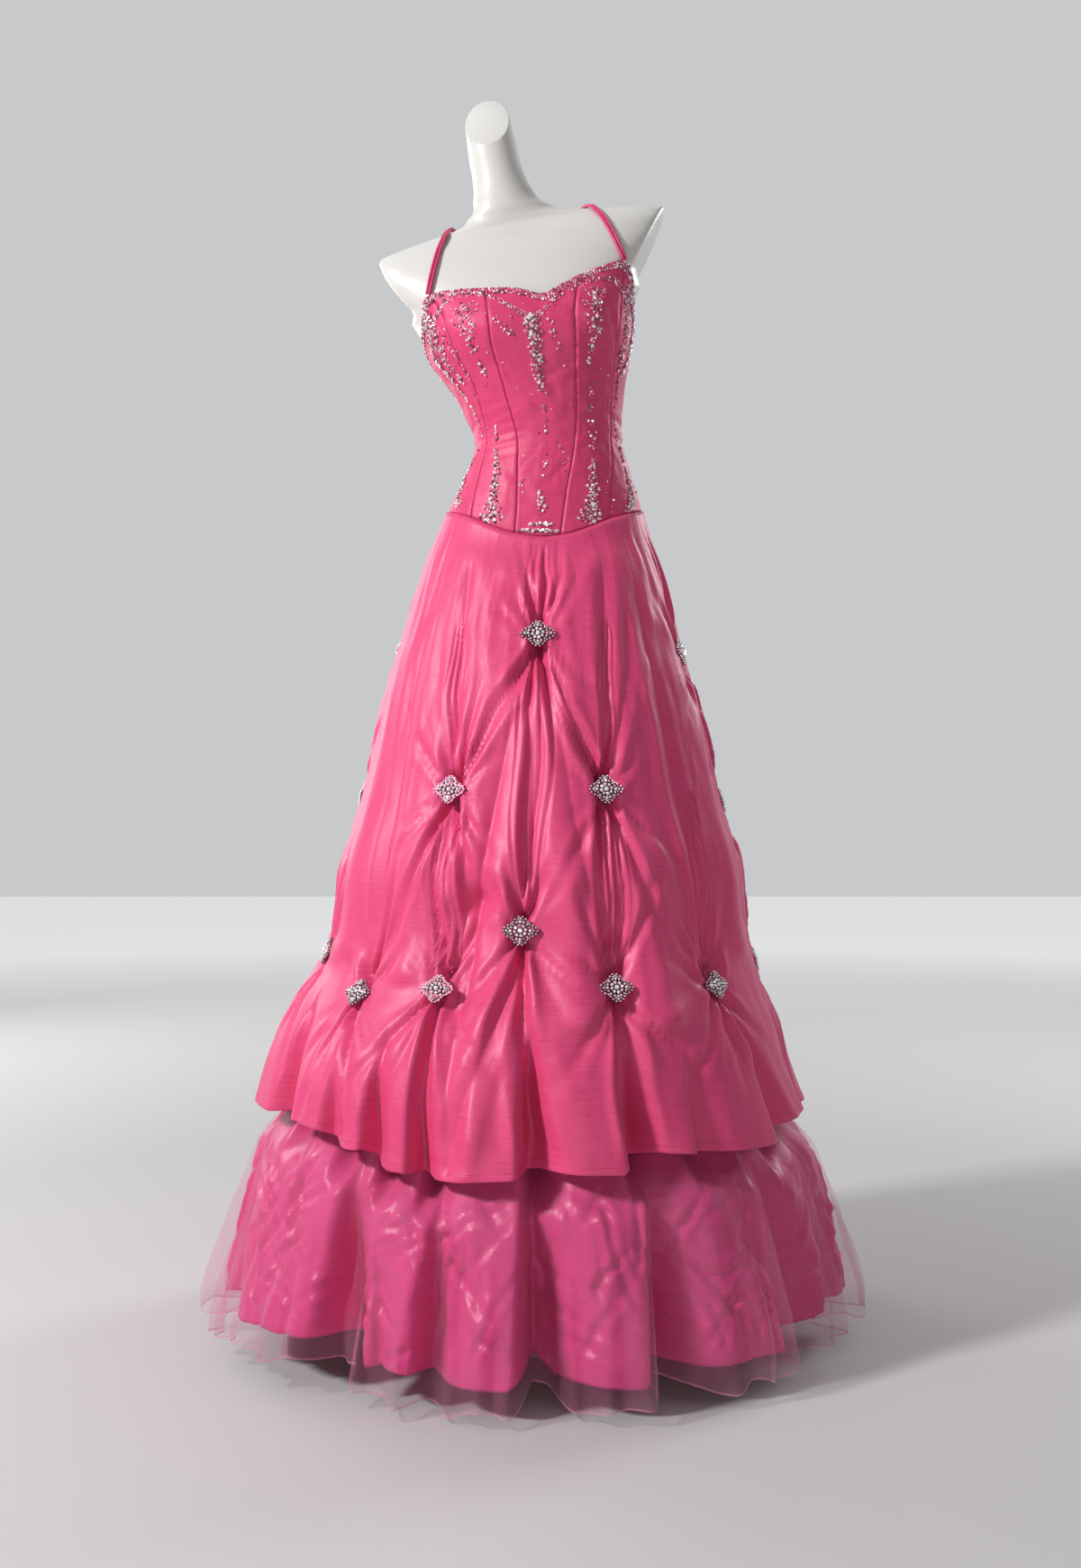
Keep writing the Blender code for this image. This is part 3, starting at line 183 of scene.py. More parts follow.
bodiceHem = table("azimuth level", """
-180 1048, -90 1056, -45 1039, -15 1016, 0 1011, 12 1015, 40 1037, 90 1055, 180 1048
""")
overskirtHem = table("azimuth level", """
-180 272, -130 279, -100 291, -77 300, -50 298, -44 294, -41 276, -33 279, -31 258, -24 260,
-18 252, -3 257, 2 264, 17 260, 20 272, 25 279, 40 273, 53 270, 62 284, 75 292, 100 288,
130 276, 180 272
""")
underskirtHem = table("azimuth level", """
-180 46, -125 50, -90 52, -60 56, -38 66, -30 40, -20 42, -16 32, -4 36, 0 54, 4 38, 18 34,
21 52, 30 44, 46 46, 63 62, 90 52, 125 50, 180 46
""")
princessLeft = table("level azimuth", """
1010 -15, 1060 -17, 1105 -21, 1156 -26, 1213 -26, 1284 -20, 1340 -17
""")
princessRight = table("level azimuth", """
1010 9, 1074 13, 1125 19, 1164 23, 1240 24, 1285 24, 1340 25
""")
sideFrontLeft = table("level azimuth", """
1030 -45, 1105 -53, 1146 -56, 1200 -51, 1281 -45, 1345 -43
""")
sideFrontRight = table("level azimuth", """
1030 39, 1078 44, 1118 52, 1146 56, 1200 56, 1280 52, 1345 50
""")
# The gathers, each under a brooch, and how strongly each one draws.
gathers = table("azimuth level turn draw", """
-1 878 0 1.15, 76 868 2 1, 180 872 0 1.1, -98 874 -2 0.9, -28.3 689 -3 1.1, 19.5 689 2 1.15,
88 676 0 0.9, 138 686 3 1.05, -158 690 -2 1.1, -92 684 2 0.95, -76 485 4 1, -46.1 446 4 1.2,
-23.4 458 -3 1.1, -4.9 526 0 1.25, 18.8 458 6 1, 49.4 455 8 1.25, 88 470 0 1,
119 452 -4 1.15, 147 470 3 0.95, 176 448 0 1.15, -152 466 -3 1, -116 455 4 1.1
""")
# Broad creases that the solids have too, then the narrow ones between them.
broadFan = table("angle length depth width1 width2", """
-27 110 5 8 17, 3 150 7 8 20, 30 110 5 8 17, 152 95 4 8 16, 183 130 5.5 8 18, 212 90 4 8 16
""")
narrowFan = table("angle length depth width1 width2", """
-54 70 1.8 3 7.5, -36 130 3.6 3 8.5, -20 85 4 2.6 7, -9 150 4.4 2.6 8, 4 100 4 2.6 7,
15 165 4.8 2.8 8.5, 28 95 4 2.8 8, 43 140 2.8 3 9, 62 60 1.4 3.2 8, 136 80 2.2 3.2 8,
152 120 3.6 3 8, 165 80 4 2.6 7, 175 145 4.6 2.6 8, 187 90 3.8 2.6 7, 198 130 4.2 2.8 8,
212 85 3.2 3 8, 229 105 2 3.2 8.5
""")
# Folds along lines on the cloth: two ends, the lift at each, the half width at each. A
# negative lift is a valley.
foldColumns = "azimuth1 level1 azimuth2 level2 lift1 lift2 width1 width2"
broadFolds = table(foldColumns, """
-9 800 -11 600 4 7 16 24, 8 800 8 600 4 6 16 24, -36 640 -33 480 5 9 20 24,
9 580 11 430 6 15 24 30, 30 620 31 430 5 12 24 30, 62 900 66 500 4 8 20 26,
-66 860 -62 500 3 8 20 28
""")
sharpFolds = table(foldColumns, """
-1 865 -28 705 -4 -5 6 7, -1 865 19 705 -4 -5 6 7, -1 860 -2 590 -3.5 -6 6 10,
-7 830 -17 560 -4 -16 8 16, -17 560 -15 300 -16 -8 16 14, 5 820 13 560 -2 -6 8 12,
-5 995 -1 890 -3 -4.4 5 6, 8 995 0 890 -3.4 -4.4 5 6, 1 998 -0.6 895 -2 -3.6 4 5,
-13 970 -3 895 -1.6 -3.4 6 6, 17 975 2 895 -1.8 -3.4 6 6, -35 960 -29 700 -3 -6 8 9,
-22 930 -27 705 1.6 -3 8 6, 28 960 20 700 -2.8 -6 8 9, 37 900 21 705 -1.8 -4.4 8 6,
44 845 23 700 3 -3 10 6, -28 675 -23.5 475 -8 -8 7 7, -31 665 -26 480 -4 -4 5 5,
-25.6 665 -21.4 480 -4.4 -4 5 5, -21.5 660 -19 440 -6 -12 8 12, 19.5 675 18 475 -8 -7 7 7,
16.8 665 15.8 480 -4.4 -3 5 5, 22.2 665 21 480 -4 -4 5 5, 21 560 22 300 -6 -15 8 12,
45 940 49 480 -2.4 -7.6 8 10, 57 720 51 480 2 -6 10 7, 38 640 47 480 -2 -6 9 7,
31 500 45 458 -1.8 -6 6 5, 34 428 45 452 3 3 10 7, 76 850 88 700 -5 -5.6 7 8,
88 660 88 490 -7 -6.6 8 8, -54 900 -47 470 -2.6 -7.6 9 9, -42 640 -45 470 2.4 -5 8 6,
-98 860 -92 700 -2.8 -5 7 8, -92 670 -77 500 -7 -6.6 8 8, -98 860 -150 705 -2.8 -5 8 8,
180 860 202 705 -3.6 -5 7 8, 180 860 138 705 -3.6 -5 7 8, 180 850 177 470 -3 -7.6 8 10,
168 800 163 560 -2.4 -10 9 15, 138 670 147 490 -7 -6.6 8 8, 120 860 119 470 -3 -8 9 10,
202 670 208 480 -7 -6.6 8 8, -124 850 -116 480 -3 -8 9 10, -139 640 -134 420 -3 -11 9 14,
176 998 179 890 -3 -4.4 5 6, -171 996 -179 890 -3 -4.4 5 6, 84 990 78 885 -2.4 -4 5 6,
69 985 75 885 -2.4 -4 5 6, -92 992 -97 890 -2.4 -4 5 6, -106 990 -99 890 -2.4 -3.6 5 6,
-4.9 505 -15 270 -5 -9 6 12, -4.9 505 1.5 300 -6 -14 6 11, -2.5 480 9 350 4 2 9 16,
-9 470 -11 300 3 7 8 16
""")
# Bundles of tight tubes from one brooch to another: how many, and their half width at
# the ends and between them.
bundles = table("azimuth1 level1 azimuth2 level2 count tight wide depth", """
-28.3 680 -23.6 468 5 12 21 8.5, 19.5 680 18.8 468 5 12 22 8.5, -1 995 -1 888 3 12 18 5,
-1 868 -4 560 3 10 24 7.5, -1 870 -27.8 700 3 6 11 7.5, -1 870 19 700 3 6 11 7.5,
-34 900 -28.6 700 3 7 12 5.5, 27 905 19.8 700 3 7 12 5.5, 52 690 49.6 470 3 9 15 6.5,
-98 865 -92 694 4 11 20 8, -92 675 -76.5 494 4 11 20 8, 76 858 87.5 686 4 11 20 8,
88 667 88 480 5 11 21 8.5, 180 862 178 458 4 11 26 8, 138 676 146 480 5 12 21 8.5,
-158 680 -152.4 476 5 12 21 8.5
""")
# Drag creases over the bodice.
bodiceFolds = table(foldColumns, """
-20 1216 -2 1170 -1.3 -1 3.5 5, -18 1252 -4 1214 -1 -1.2 4 4, -9 1241 8 1199 -0.8 -1 4 4.5,
5 1214 20 1227 -1.1 -0.8 4 4, 24 1284 34 1258 -1.8 -1 4 4, 25 1268 36 1232 -1.4 -1 4 4.5,
45 1280 56 1244 -1.4 -1.2 5 5, -24 1192 -50 1187 -1 -0.6 2.6 3,
-26 1179 -46 1170 -1.3 -0.8 2.6 3, -27 1163 -52 1159 -1.1 -1 2.4 3,
-26 1150 -44 1147 -1.4 -0.8 2.4 3, -25 1137 -50 1131 -1.2 -0.8 2.6 3,
-23 1122 -40 1119 -0.9 -0.6 2.8 3, 12 1104 -1 1078 -1.3 -0.8 4 4.5,
17 1144 2 1152 -0.8 -0.5 3.6 4, -20 1098 -8 1126 -0.8 -0.6 3.6 4,
26 1170 44 1160 -0.8 -0.6 3 3.4, 28 1128 47 1136 -0.9 -0.5 3 3.4,
60 1168 92 1157 -1 -0.8 3 4, 62 1142 90 1139 -1.2 -0.8 2.8 3.6,
-62 1170 -94 1160 -1 -0.8 3 4, -60 1146 -92 1143 -1.2 -0.9 2.8 3.6,
104 1170 150 1158 -1.2 -0.6 3.2 4.4, 100 1148 158 1136 -1.3 -0.6 3 4,
112 1126 150 1120 -0.9 -0.6 3.2 4, -102 1166 -152 1161 -1.2 -0.6 3.2 4.4,
-100 1144 -160 1138 -1.3 -0.6 3 4, -110 1124 -146 1127 -0.9 -0.6 3.2 4
""")
# Recesses between the tube-like folds at a hem.
recessColumns = "azimuth depth halfAngle rise"
overskirtRecesses = table(recessColumns, """
-42.5 14 3 110, -32 18 2.8 170, -21.5 20 2.8 190, -0.5 26 3.4 200, 20 24 3.4 160,
34 10 3.6 120, 57 18 3.6 150, 77 16 3.6 140, 98 20 3.8 170, 112 15 3.2 130, 130 20 3.4 170,
143 15 3 130, 157 22 3.4 180, 169 16 3 130, -174 22 3.4 170, -161 16 3 130, -143 20 3.4 180,
-128 16 3.2 130, -106 20 3.6 160, -88 16 3.2 140, -62 18 3.6 160
""")
underskirtRecesses = table(recessColumns, """
-79 30 4.6 260, -37.5 42 4 270, -28 16 3 160, -18.8 34 3.4 250, 0 50 4.2 300, 21 42 3.8 270,
49 38 4.4 260, 66 32 4 260, 88 40 4.6 270, 107 30 4 250, 124 42 4.4 270, 143 34 4 250,
161 42 4.4 280, 178 32 3.8 250, -166 42 4.4 280, -147 32 4 250, -128 42 4.4 270,
-109 36 4.2 250, -94 24 3.4 220
""")
# Small creases, in families that run the same way: the way they run, how far apart they
# are and how deep.
familyColumns = "turn spacing depth seed"
overskirtCreases = table(familyColumns, """
6 43 1 1.3, -11 67 1.3 2.9, 19 31 0.5 4.1, 52 57 0.6 2.2
""")
underskirtCreases = table(familyColumns, """
24 71 6 1.9, -31 83 6.4 3.3, 70 61 3.4 0.7
""")
tulleCreases = table(familyColumns, """
6 44 11 0.9, -11 61 12 2.2, 40 50 3 4.7
""")
bodiceCreases = table(familyColumns, """
38 21 0.5 1.1, -52 27 0.6 3.9, 84 18 0.4 2.4
""")
# Beads: a run of them from one place to another, half as wide as given at each end.
beadRuns = table("azimuth1 level1 azimuth2 level2 half1 half2 count size", """
1.8 1290 0.8 1256 10.5 8.5 62 1.15, 0.8 1256 -0.8 1225 8.5 7 46 1.15,
-0.8 1225 -1.5 1198 7 4.5 30 1.1, -29.8 1317 -31.5 1295 14 14 44 0.8,
-31.5 1295 -32.5 1272 13 8 30 0.85, -32.5 1272 -33 1253 7 5 12 1,
-34 1245 -39 1205 4 3 8 1.25, -52 1300 -47 1262 10 6 22 0.8, -47 1262 -50 1225 5 3 7 1.1,
-43.5 1163 -43.2 1141 2 4 6 1.1, -43.2 1130 -36.2 1096 3.5 6 20 1.1,
-36.2 1096 -32.8 1060 6 8 36 1.1, -32.8 1060 -31 1031 8 16 56 1.1,
-4.2 1071 -2.2 1040 3 6 18 1.2, -13 1019 8 1018 3 3 46 1.1, -8 1027 3.5 1027 4 4 30 1.1,
-1.2 1181 -2.8 1133 0.6 2 6 1.25, -1.2 1120 -3.2 1085 4 1 5 1.1,
32.8 1312 34.2 1280 12 10 54 0.95, 34.2 1280 35.8 1258 9.5 6.5 28 1,
35.8 1258 33.8 1243 6 4.5 12 1.1, 33.8 1243 33.2 1222 4 3 7 1.1,
36.5 1205 34.5 1171 3 6.5 7 1.1, 34.5 1171 34 1125 8 7 9 1.1,
32.8 1112 29.8 1078 3.5 8.5 28 1.1, 29.8 1078 27.5 1054 8.5 9.5 34 1.1,
27.5 1054 26.5 1029 9.5 16.5 54 1.1, 57 1318 67 1300 6 8 30 0.95, 67 1300 80 1278 8 8 46 1,
80 1278 78 1240 8 7 60 1, 78 1240 66 1215 6 3.5 26 1, 65 1215 65 1190 3 1.6 9 1,
63.5 1185 68.5 1131 1 1.4 9 1, 70.2 1129 68.2 1091 2 5 16 1, 68.2 1091 65.5 1066 5 8 24 1.05,
65.5 1066 58 1048 8 12 32 1.05, -53 1322 -63 1304 6 7 36 0.95,
-63 1304 -71 1270 7.5 8.5 62 1, -71 1270 -69 1236 8 6 44 1, -69 1236 -64.8 1200 5 3 20 1,
-62 1192 -62 1140 1.6 1.6 8 1.1, -67.5 1133 -73.5 1109 1.6 3.5 12 1,
-73.5 1109 -72 1082 3.5 7 22 1.05, -72 1082 -65 1056 7 11 34 1.05,
-56 1318 -60 1262 12 10 56 1, -60 1262 -58 1222 9 5 26 1, 60 1312 64 1262 10 10 50 1,
64 1262 63 1222 8 4 24 1, 100 1255 102 1205 8 3 40 1, -100 1255 -103 1200 8 3 38 1,
136 1230 139 1190 8 3 30 1, -138 1230 -141 1186 8 3 32 1, 138 1110 141 1060 3 12 46 1.05,
-139 1106 -142 1060 3 12 44 1.05, 104 1096 108 1066 3 10 26 1.05,
-105 1094 -109 1066 3 10 26 1.05, -20 1300 -9 1262 6 4 9 0.9, 10 1280 17 1225 8 6 9 0.9,
-20 1120 -14 1060 5 5 6 0.8, 6 1140 14 1090 6 5 6 0.8
""")
# The scalloped row of beads below the top edge.
secondRow = table("azimuth level", """
-60 1295, -48.8 1318, -39 1332, -29.2 1335, -22 1331, -15.5 1321, -10.2 1308, -3.5 1294,
1.5 1286, 4.8 1288, 8.2 1294, 13.5 1306, 19.5 1314, 25.2 1320, 32.2 1326, 41.8 1327, 50 1317,
58 1300
""")
# Stones toward a brooch's corners, for one quarter of it.
broochCorners = table("x y radius", """
11.8 0 2.4, 16 0 1.9, 0 10.6 2.3, 0 14.2 1.8, 10.8 4 1.7, 4 9.8 1.6, 8.5 7.4 1.4,
14.2 2.8 1.2, 2.6 12.8 1.2
""")


def pressedCreases():
    # Short creases pressed into the underskirt, in pairs that meet.
    rng = random.Random(4)
    rows = []
    while len(rows) < underskirtPiece["creases"]:
        azimuth = rng.uniform(-180.0, 180.0)
        level = rng.uniform(0.05, 0.25)
        depth = rng.uniform(0.0022, 0.0052)
        for turn in (rng.uniform(-75, 75), rng.uniform(-75, 75)):
            length = rng.uniform(0.035, 0.090)
            run = length * math.sin(math.radians(turn))
            far = azimuth + math.degrees(run / underskirtPiece["radius"])
            drop = length * math.cos(math.radians(turn)) * rng.choice((-1, 1))
            width = rng.uniform(0.0036, 0.0056)
            rows.append((azimuth, level, far, level + drop, -depth, -depth * 0.4, width, width))
    return dict(zip(foldColumns.split(), np.array(rows).T))


looseCreases = pressedCreases()


# Surfaces
def smoothRead(rows, keyName, valueName, key):
    keys = rows[keyName]
    values = rows[valueName]
    slopes = np.gradient(values, keys)
    row = np.clip(np.searchsorted(keys, key) - 1, 0, len(keys) - 2)
    span = keys[row + 1] - keys[row]
    part = np.clip((key - keys[row]) / span, 0.0, 1.0)
    start = (1 + 2 * part) * (1 - part) ** 2 * values[row]
    startSlope = part * (1 - part) ** 2 * span * slopes[row]
    end = part**2 * (3 - 2 * part) * values[row + 1]
    endSlope = part**2 * (part - 1) * span * slopes[row + 1]
    return start + startSlope + end + endSlope


def ringAt(rings, level):
    return {name: smoothRead(rings, "level", name, level) for name in rings if name != "level"}


def between(run, name, part):
    return run[name + "1"] + (run[name + "2"] - run[name + "1"]) * part


def wrap(azimuth):
    return (azimuth + 180.0) % 360.0 - 180.0


def ease(part):
    part = np.clip(part, 0.0, 1.0)
    return part * part * (3 - 2 * part)


def edgeLevel(edge, azimuth):
    return smoothRead(edge, "azimuth", "level", wrap(azimuth))


def edgeAt(edge, azimuth):
    return float(edgeLevel(edge, np.array([azimuth]))[0])


def hemLevel(hem, azimuth):
    return np.interp(wrap(azimuth), hem["azimuth"], hem["level"])


def stack(x, y, z):
    return np.stack([x, y, z], axis=-1)


def outward(azimuth):
    angle = np.radians(azimuth)
    return stack(np.sin(angle), -np.cos(angle), np.zeros_like(angle))


def formPoint(azimuth, level):
    ring = ringAt(formRings, level)
    angle = np.radians(azimuth)
    side = np.sin(angle)
    ahead = np.cos(angle)
    roundness = 2 / ring["power"]
    depth = np.where(ahead > 0, ring["front"], ring["back"])
    x = ring["halfWidth"] * np.sign(side) * np.abs(side) ** roundness
    y = -depth * np.sign(ahead) * np.abs(ahead) ** roundness
    for _, half in eachRow(bust):
        across = wrap(azimuth - half["azimuth"]) / half["azimuthSpread"]
        above = (level - half["level"]) / half["levelSpread"]
        lift = half["lift"] * np.exp(-(across**2) - above**2)
        x = x + side * lift
        y = y - ahead * lift
    lean = np.radians(ring["lean"])
    z = level + x * np.sin(lean)
    x = ring["centreX"] + x * np.cos(lean)
    y = ring["centreY"] + y
    upper = ease((level - form["armLevel"]) / 0.02)
    for _, end in eachRow(armEnds):
        limit = end["x"] + end["perDepth"] * y
        limit = limit + end["perHeight"] * (z - end["height"])
        # A rounded corner where the arm ends.
        over = end["side"] * (x - limit)
        soft = 0.5 * (over + np.sqrt(over**2 + form["armRound"] ** 2))
        x = x - end["side"] * soft * ease((over + 0.03) / 0.02) * upper
    return stack(x, y, z)


def lifted(surface, azimuth, level, lift):
    roundStep = surface(azimuth + 0.4, level) - surface(azimuth - 0.4, level)
    riseStep = surface(azimuth, level + 0.001) - surface(azimuth, level - 0.001)
    normal = np.cross(roundStep, riseStep)
    normal /= np.linalg.norm(normal, axis=-1, keepdims=True)
    return surface(azimuth, level) + normal * np.asarray(lift)[..., None]


def skirtRing(rings, azimuth, level):
    angle = np.radians(azimuth)
    ring = ringAt(rings, level)
    depth = np.where(np.cos(angle) > 0, ring["front"], ring["back"])
    x = ring["centreX"] + ring["halfWidth"] * np.sin(angle)
    return stack(x, -depth * np.cos(angle), level)


def hang(rings, azimuth, level, seamLift):
    # Over the hips just below the bodice, then free of them.
    seam = edgeLevel(bodiceHem, azimuth)
    share = ease((seam - level) / skirts["hips"])[..., None]
    hips = lifted(formPoint, azimuth, level, np.full_like(level, seamLift))
    return hips * (1 - share) + skirtRing(rings, azimuth, level) * share


def rounded(offset):
    return np.exp(-(offset**2))


def pinched(offset):
    # A narrow valley with a sharp bottom and a raised shoulder on each side.
    away = np.abs(offset)
    return np.exp(-(away**1.15)) - 0.34 * np.exp(-(((away - 2.2) / 0.9) ** 2))


def alongRun(run, azimuth, level, radius):
    # How far each point lies along a line on the cloth and beside it, and its length.
    x = np.radians(wrap(azimuth - run["azimuth1"])) * radius
    z = level - run["level1"]
    runX = math.radians(run["azimuth2"] - run["azimuth1"]) * radius
    runZ = run["level2"] - run["level1"]
    length = np.sqrt(runX**2 + runZ**2)
    return (x * runX + z * runZ) / length, (x * runZ - z * runX) / length, length


def foldLift(folds, azimuth, level, radius, shape, runOut=0.018, bow=0.004):
    lift = np.zeros_like(level)
    for row, fold in eachRow(folds):
        along, across, length = alongRun(fold, azimuth, level, radius)
        part = np.clip(along / length, 0.0, 1.0)
        past = along - part * length
        # A slight bow keeps a fold from running dead straight.
        across = across - bow * math.sin(12.9 * row + 1.0) * np.sin(np.pi * part)
        fade = np.exp(-((past / runOut) ** 2))
        width = between(fold, "width", part)
        lift += between(fold, "lift", part) * fade * shape(across / width)
    return lift


def bundleLift(azimuth, level, radius):
    # Narrow tubes side by side, drawn tight at both ends and wider between them.
    lift = np.zeros_like(level)
    for row, run in eachRow(bundles):
        along, across, length = alongRun(run, azimuth, level, radius)
        part = along / length
        across = across + 0.0018 * np.sin(part * 11 + row)
        widening = np.sin(np.pi * np.clip(part, 0.0, 1.0))
        place = across / (run["tight"] + (run["wide"] - run["tight"]) * widening)
        tubes = np.abs(np.cos(np.pi * place * run["count"] / 2)) ** 0.8
        inside = ease((1.12 - np.abs(place)) / 0.30)
        ends = ease((part + 0.02) / 0.06) * ease((1.02 - part) / 0.06)
        swell = 0.55 + 0.45 * np.abs(np.cos(np.pi * part))
        lift += run["depth"] * (tubes - 1.0) * inside * ends * swell
    return lift


def fanLift(creases, x, z, row, turn, shape, vary):
    # Creases that run out from a gather. vary is 1 where no two gathers look the same.
    lift = np.zeros_like(x)
    for place, crease in eachRow(creases):
        angle = crease["angle"] + turn
        angle = math.radians(angle + vary * 5.0 * math.sin(7.3 * row + 2.1 * place))
        longer = vary * (0.25 + 0.3 * math.sin(3.7 * row + 1.9 * place))
        depth = crease["depth"] * (1 + vary * 0.3 * math.sin(5.1 * row + 4.3 * place))
        along = x * math.sin(angle) - z * math.cos(angle)
        across = x * math.cos(angle) + z * math.sin(angle)
        across = across + vary * 0.0014 * np.sin(along * 30 + row + place)
        part = along / (crease["length"] * (1 + longer))
        width = between(crease, "width", np.clip(part, 0.0, 1.0))
        strength = ease(along / (0.022 - 0.010 * vary)) * (1 - ease(part))
        lift -= depth * strength * shape(across / width)
    return lift


def gatherLift(azimuth, level, row, gather):
    centre = np.array([gather["level"]])
    radius = float(smoothRead(overskirtRings, "level", "halfWidth", centre)[0])
    x = np.radians(wrap(azimuth - gather["azimuth"])) * radius
    z = level - gather["level"]
    lift = -fan["dip"] * np.exp(-(x**2 + z**2) / fan["dipReach"] ** 2)
    below = (z + fan["swellBelow"]) / fan["swellReach"]
    lift += fan["swell"] * np.exp(-((x / fan["swellReach"]) ** 2) - below**2)
    lift += fan["broad"] * fanLift(broadFan, x, z, row, gather["turn"], rounded, 0.0)
    draw = fan["draw"] * gather["draw"]
    return lift + draw * fanLift(narrowFan, x, z, row, gather["turn"], pinched, 1.0)


def recessLift(recesses, hem, azimuth, level, depthScale, widthScale):
    above = level - hemLevel(hem, azimuth)
    lift = np.zeros_like(level)
    for row, slot in eachRow(recesses):
        # A slot narrows on its way up, and leans a little.
        fade = 1 - ease(above / slot["rise"])
        lean = 1.6 * math.sin(9.1 * row) * above / slot["rise"]
        half = slot["halfAngle"] * widthScale * (0.62 + 0.38 * fade)
        across = wrap(azimuth - slot["azimuth"] - lean) / half
        # The fold on the left hangs over the slot, and the next one comes forward slowly.
        across = np.where(across < 0, across / recess["steep"], across / recess["gradual"])
        lift -= depthScale * slot["depth"] * fade * np.exp(-(np.abs(across) ** 1.9))
    return lift


def overSlots(azimuth, level):
    return recessLift(
        overskirtRecesses, overskirtHem, azimuth, level, recess["overDepth"], recess["overWidth"]
    )


def crumple(azimuth, level, radius, families):
    # Straight sharp creases in a few directions, in patches, flat between them. The
    # patches leave out the seam where the azimuth starts again.
    x = np.radians(azimuth) * radius
    lift = np.zeros_like(level)
    for _, family in eachRow(families):
        turn = math.radians(family["turn"])
        seed = family["seed"]
        across = (x * math.cos(turn) + level * math.sin(turn)) / family["spacing"]
        along = (level * math.cos(turn) - x * math.sin(turn)) / family["spacing"]
        wander = np.sin(along * 0.9 + seed) + 0.6 * np.sin(along * 2.3 + seed * 3)
        wander += 0.8 * np.sin(across * 0.37 + seed * 5)
        fold = np.abs((across + 0.09 * wander + seed) % 1.0 * 2 - 1)
        patch = np.sin(across * 0.83 + seed * 2) * np.sin(along * 0.47 + seed)
        lift += family["depth"] * (fold - 1.0) * np.clip(0.55 + 0.9 * patch, 0.0, 1.0)
    return lift * ease(np.abs(wrap(azimuth - leftSeam)) / 5.0)


def bodicePoint(azimuth, level, lift):
    radius = bodice["radius"]
    drag = foldLift(bodiceFolds, azimuth, level, radius, rounded, 0.010, 0.0)
    lift = lift + bodice["drag"] * drag
    lift = lift + crumple(azimuth, level, radius, bodiceCreases)
    return lifted(formPoint, azimuth, level, form["ease"] + bodice["wall"] + lift)


def overskirtPoint(azimuth, level):
    radius = smoothRead(overskirtRings, "level", "halfWidth", level)
    lift = overSlots(azimuth, level)
    lift += bundleLift(azimuth, level, radius)
    lift += foldLift(broadFolds, azimuth, level, radius, rounded)
    lift += foldLift(sharpFolds, azimuth, level, radius, pinched)
    for row, gather in eachRow(gathers):
        lift += gatherLift(azimuth, level, row, gather)
    free = ease((edgeLevel(bodiceHem, azimuth) - level) / skirts["flatTop"])
    lift += crumple(azimuth, level, overskirtPiece["radius"], overskirtCreases) * free
    # The narrow turned hem stands a little proud.
    above = level - hemLevel(overskirtHem, azimuth)
    lift += skirts["hemProud"] * ease((skirts["hemTurn"] - above) / 0.0015)
    seamLift = form["ease"] + overskirtPiece["ease"] + bodice["seamGap"]
    base = hang(overskirtRings, azimuth, level, seamLift)
    return base + outward(azimuth) * (lift * free)[..., None]


def underskirtPoint(azimuth, level, creased=True):
    base = hang(underskirtRings, azimuth, level, form["ease"] + underskirtPiece["ease"])
    lift = recessLift(
        underskirtRecesses, underskirtHem, azimuth, level, recess["underDepth"],
        recess["underWidth"],
    )
    # Under the overskirt it follows the slots there, a little further in.
    hem = hemLevel(overskirtHem, azimuth)
    covered = ease((level - hem + underskirtPiece["openBelow"]) / underskirtPiece["openOver"])
    inset = overSlots(azimuth, np.maximum(level, hem)) - underskirtPiece["inset"]
    fade = 1 - ease((level - hem - 0.12) / 0.12)
    hidden = inset * fade + 0.4 * lift - 0.006 * ease((level - hem) / 0.05)
    seam = edgeLevel(bodiceHem, azimuth)
    lift = lift * (1 - covered) + hidden * covered * ease((seam - level) / 0.060 + 0.1)
    if creased:
        radius = underskirtPiece["radius"]
        worn = crumple(azimuth, level, radius, underskirtCreases)
        worn += foldLift(looseCreases, azimuth, level, radius, pinched)
        lift += worn * (1 - covered)
    return base + outward(azimuth) * lift[..., None]


def tullePoint(azimuth, level):
    hem = hemLevel(underskirtHem, azimuth)
    top = tullePiece["spreadFrom"]
    fall = np.clip((top - level) / (top - hem), 0.0, 1.3)
    taffeta = underskirtPoint(azimuth, np.maximum(level, hem), creased=False)
    lift = tullePiece["off"] + tullePiece["spread"] * ease((fall - 0.25) / 0.9)
    angle = np.radians(azimuth)
    flutes = np.sin(angle * tullePiece["flutes"] + 2.4 * np.sin(angle * 7))
    lift += tullePiece["flute"] * flutes * ease((fall - 0.35) / 0.6)
    lift += crumple(azimuth, level, underskirtPiece["radius"], tulleCreases) * ease(fall / 0.5)
    point = taffeta + outward(azimuth) * np.maximum(lift, tullePiece["leastOff"])[..., None]
    point[..., 2] = level
    return point


print("surfaces: tables read")


# Materials
def newMaterial(name):
    material = bpy.data.materials.new(name)
    material.use_nodes = True
    tree = material.node_tree
    return material, tree, tree.nodes["Principled BSDF"]


def feed(tree, node, inputs):
    # Each input gets either a plain value or the output of another node.
    for key, value in inputs.items():
        if isinstance(value, bpy.types.NodeSocket):
            tree.links.new(value, node.inputs[key])
        else:
            node.inputs[key].default_value = value


def addNode(tree, kind, inputs, output, **settings):
    node = tree.nodes.new(f"ShaderNode{kind}")
    for key, value in settings.items():
        setattr(node, key, value)
    feed(tree, node, inputs)
    return node.outputs[output]


def coordinates(tree, x, y, z=1.0, source="uv"):
    if source == "uv":
        start = addNode(tree, "UVMap", {}, "UV", uv_map="cloth")
    else:
        start = addNode(tree, "TexCoord", {}, "Object")
    return addNode(tree, "Mapping", {"Vector": start, "Scale": (x, y, z)}, "Vector")


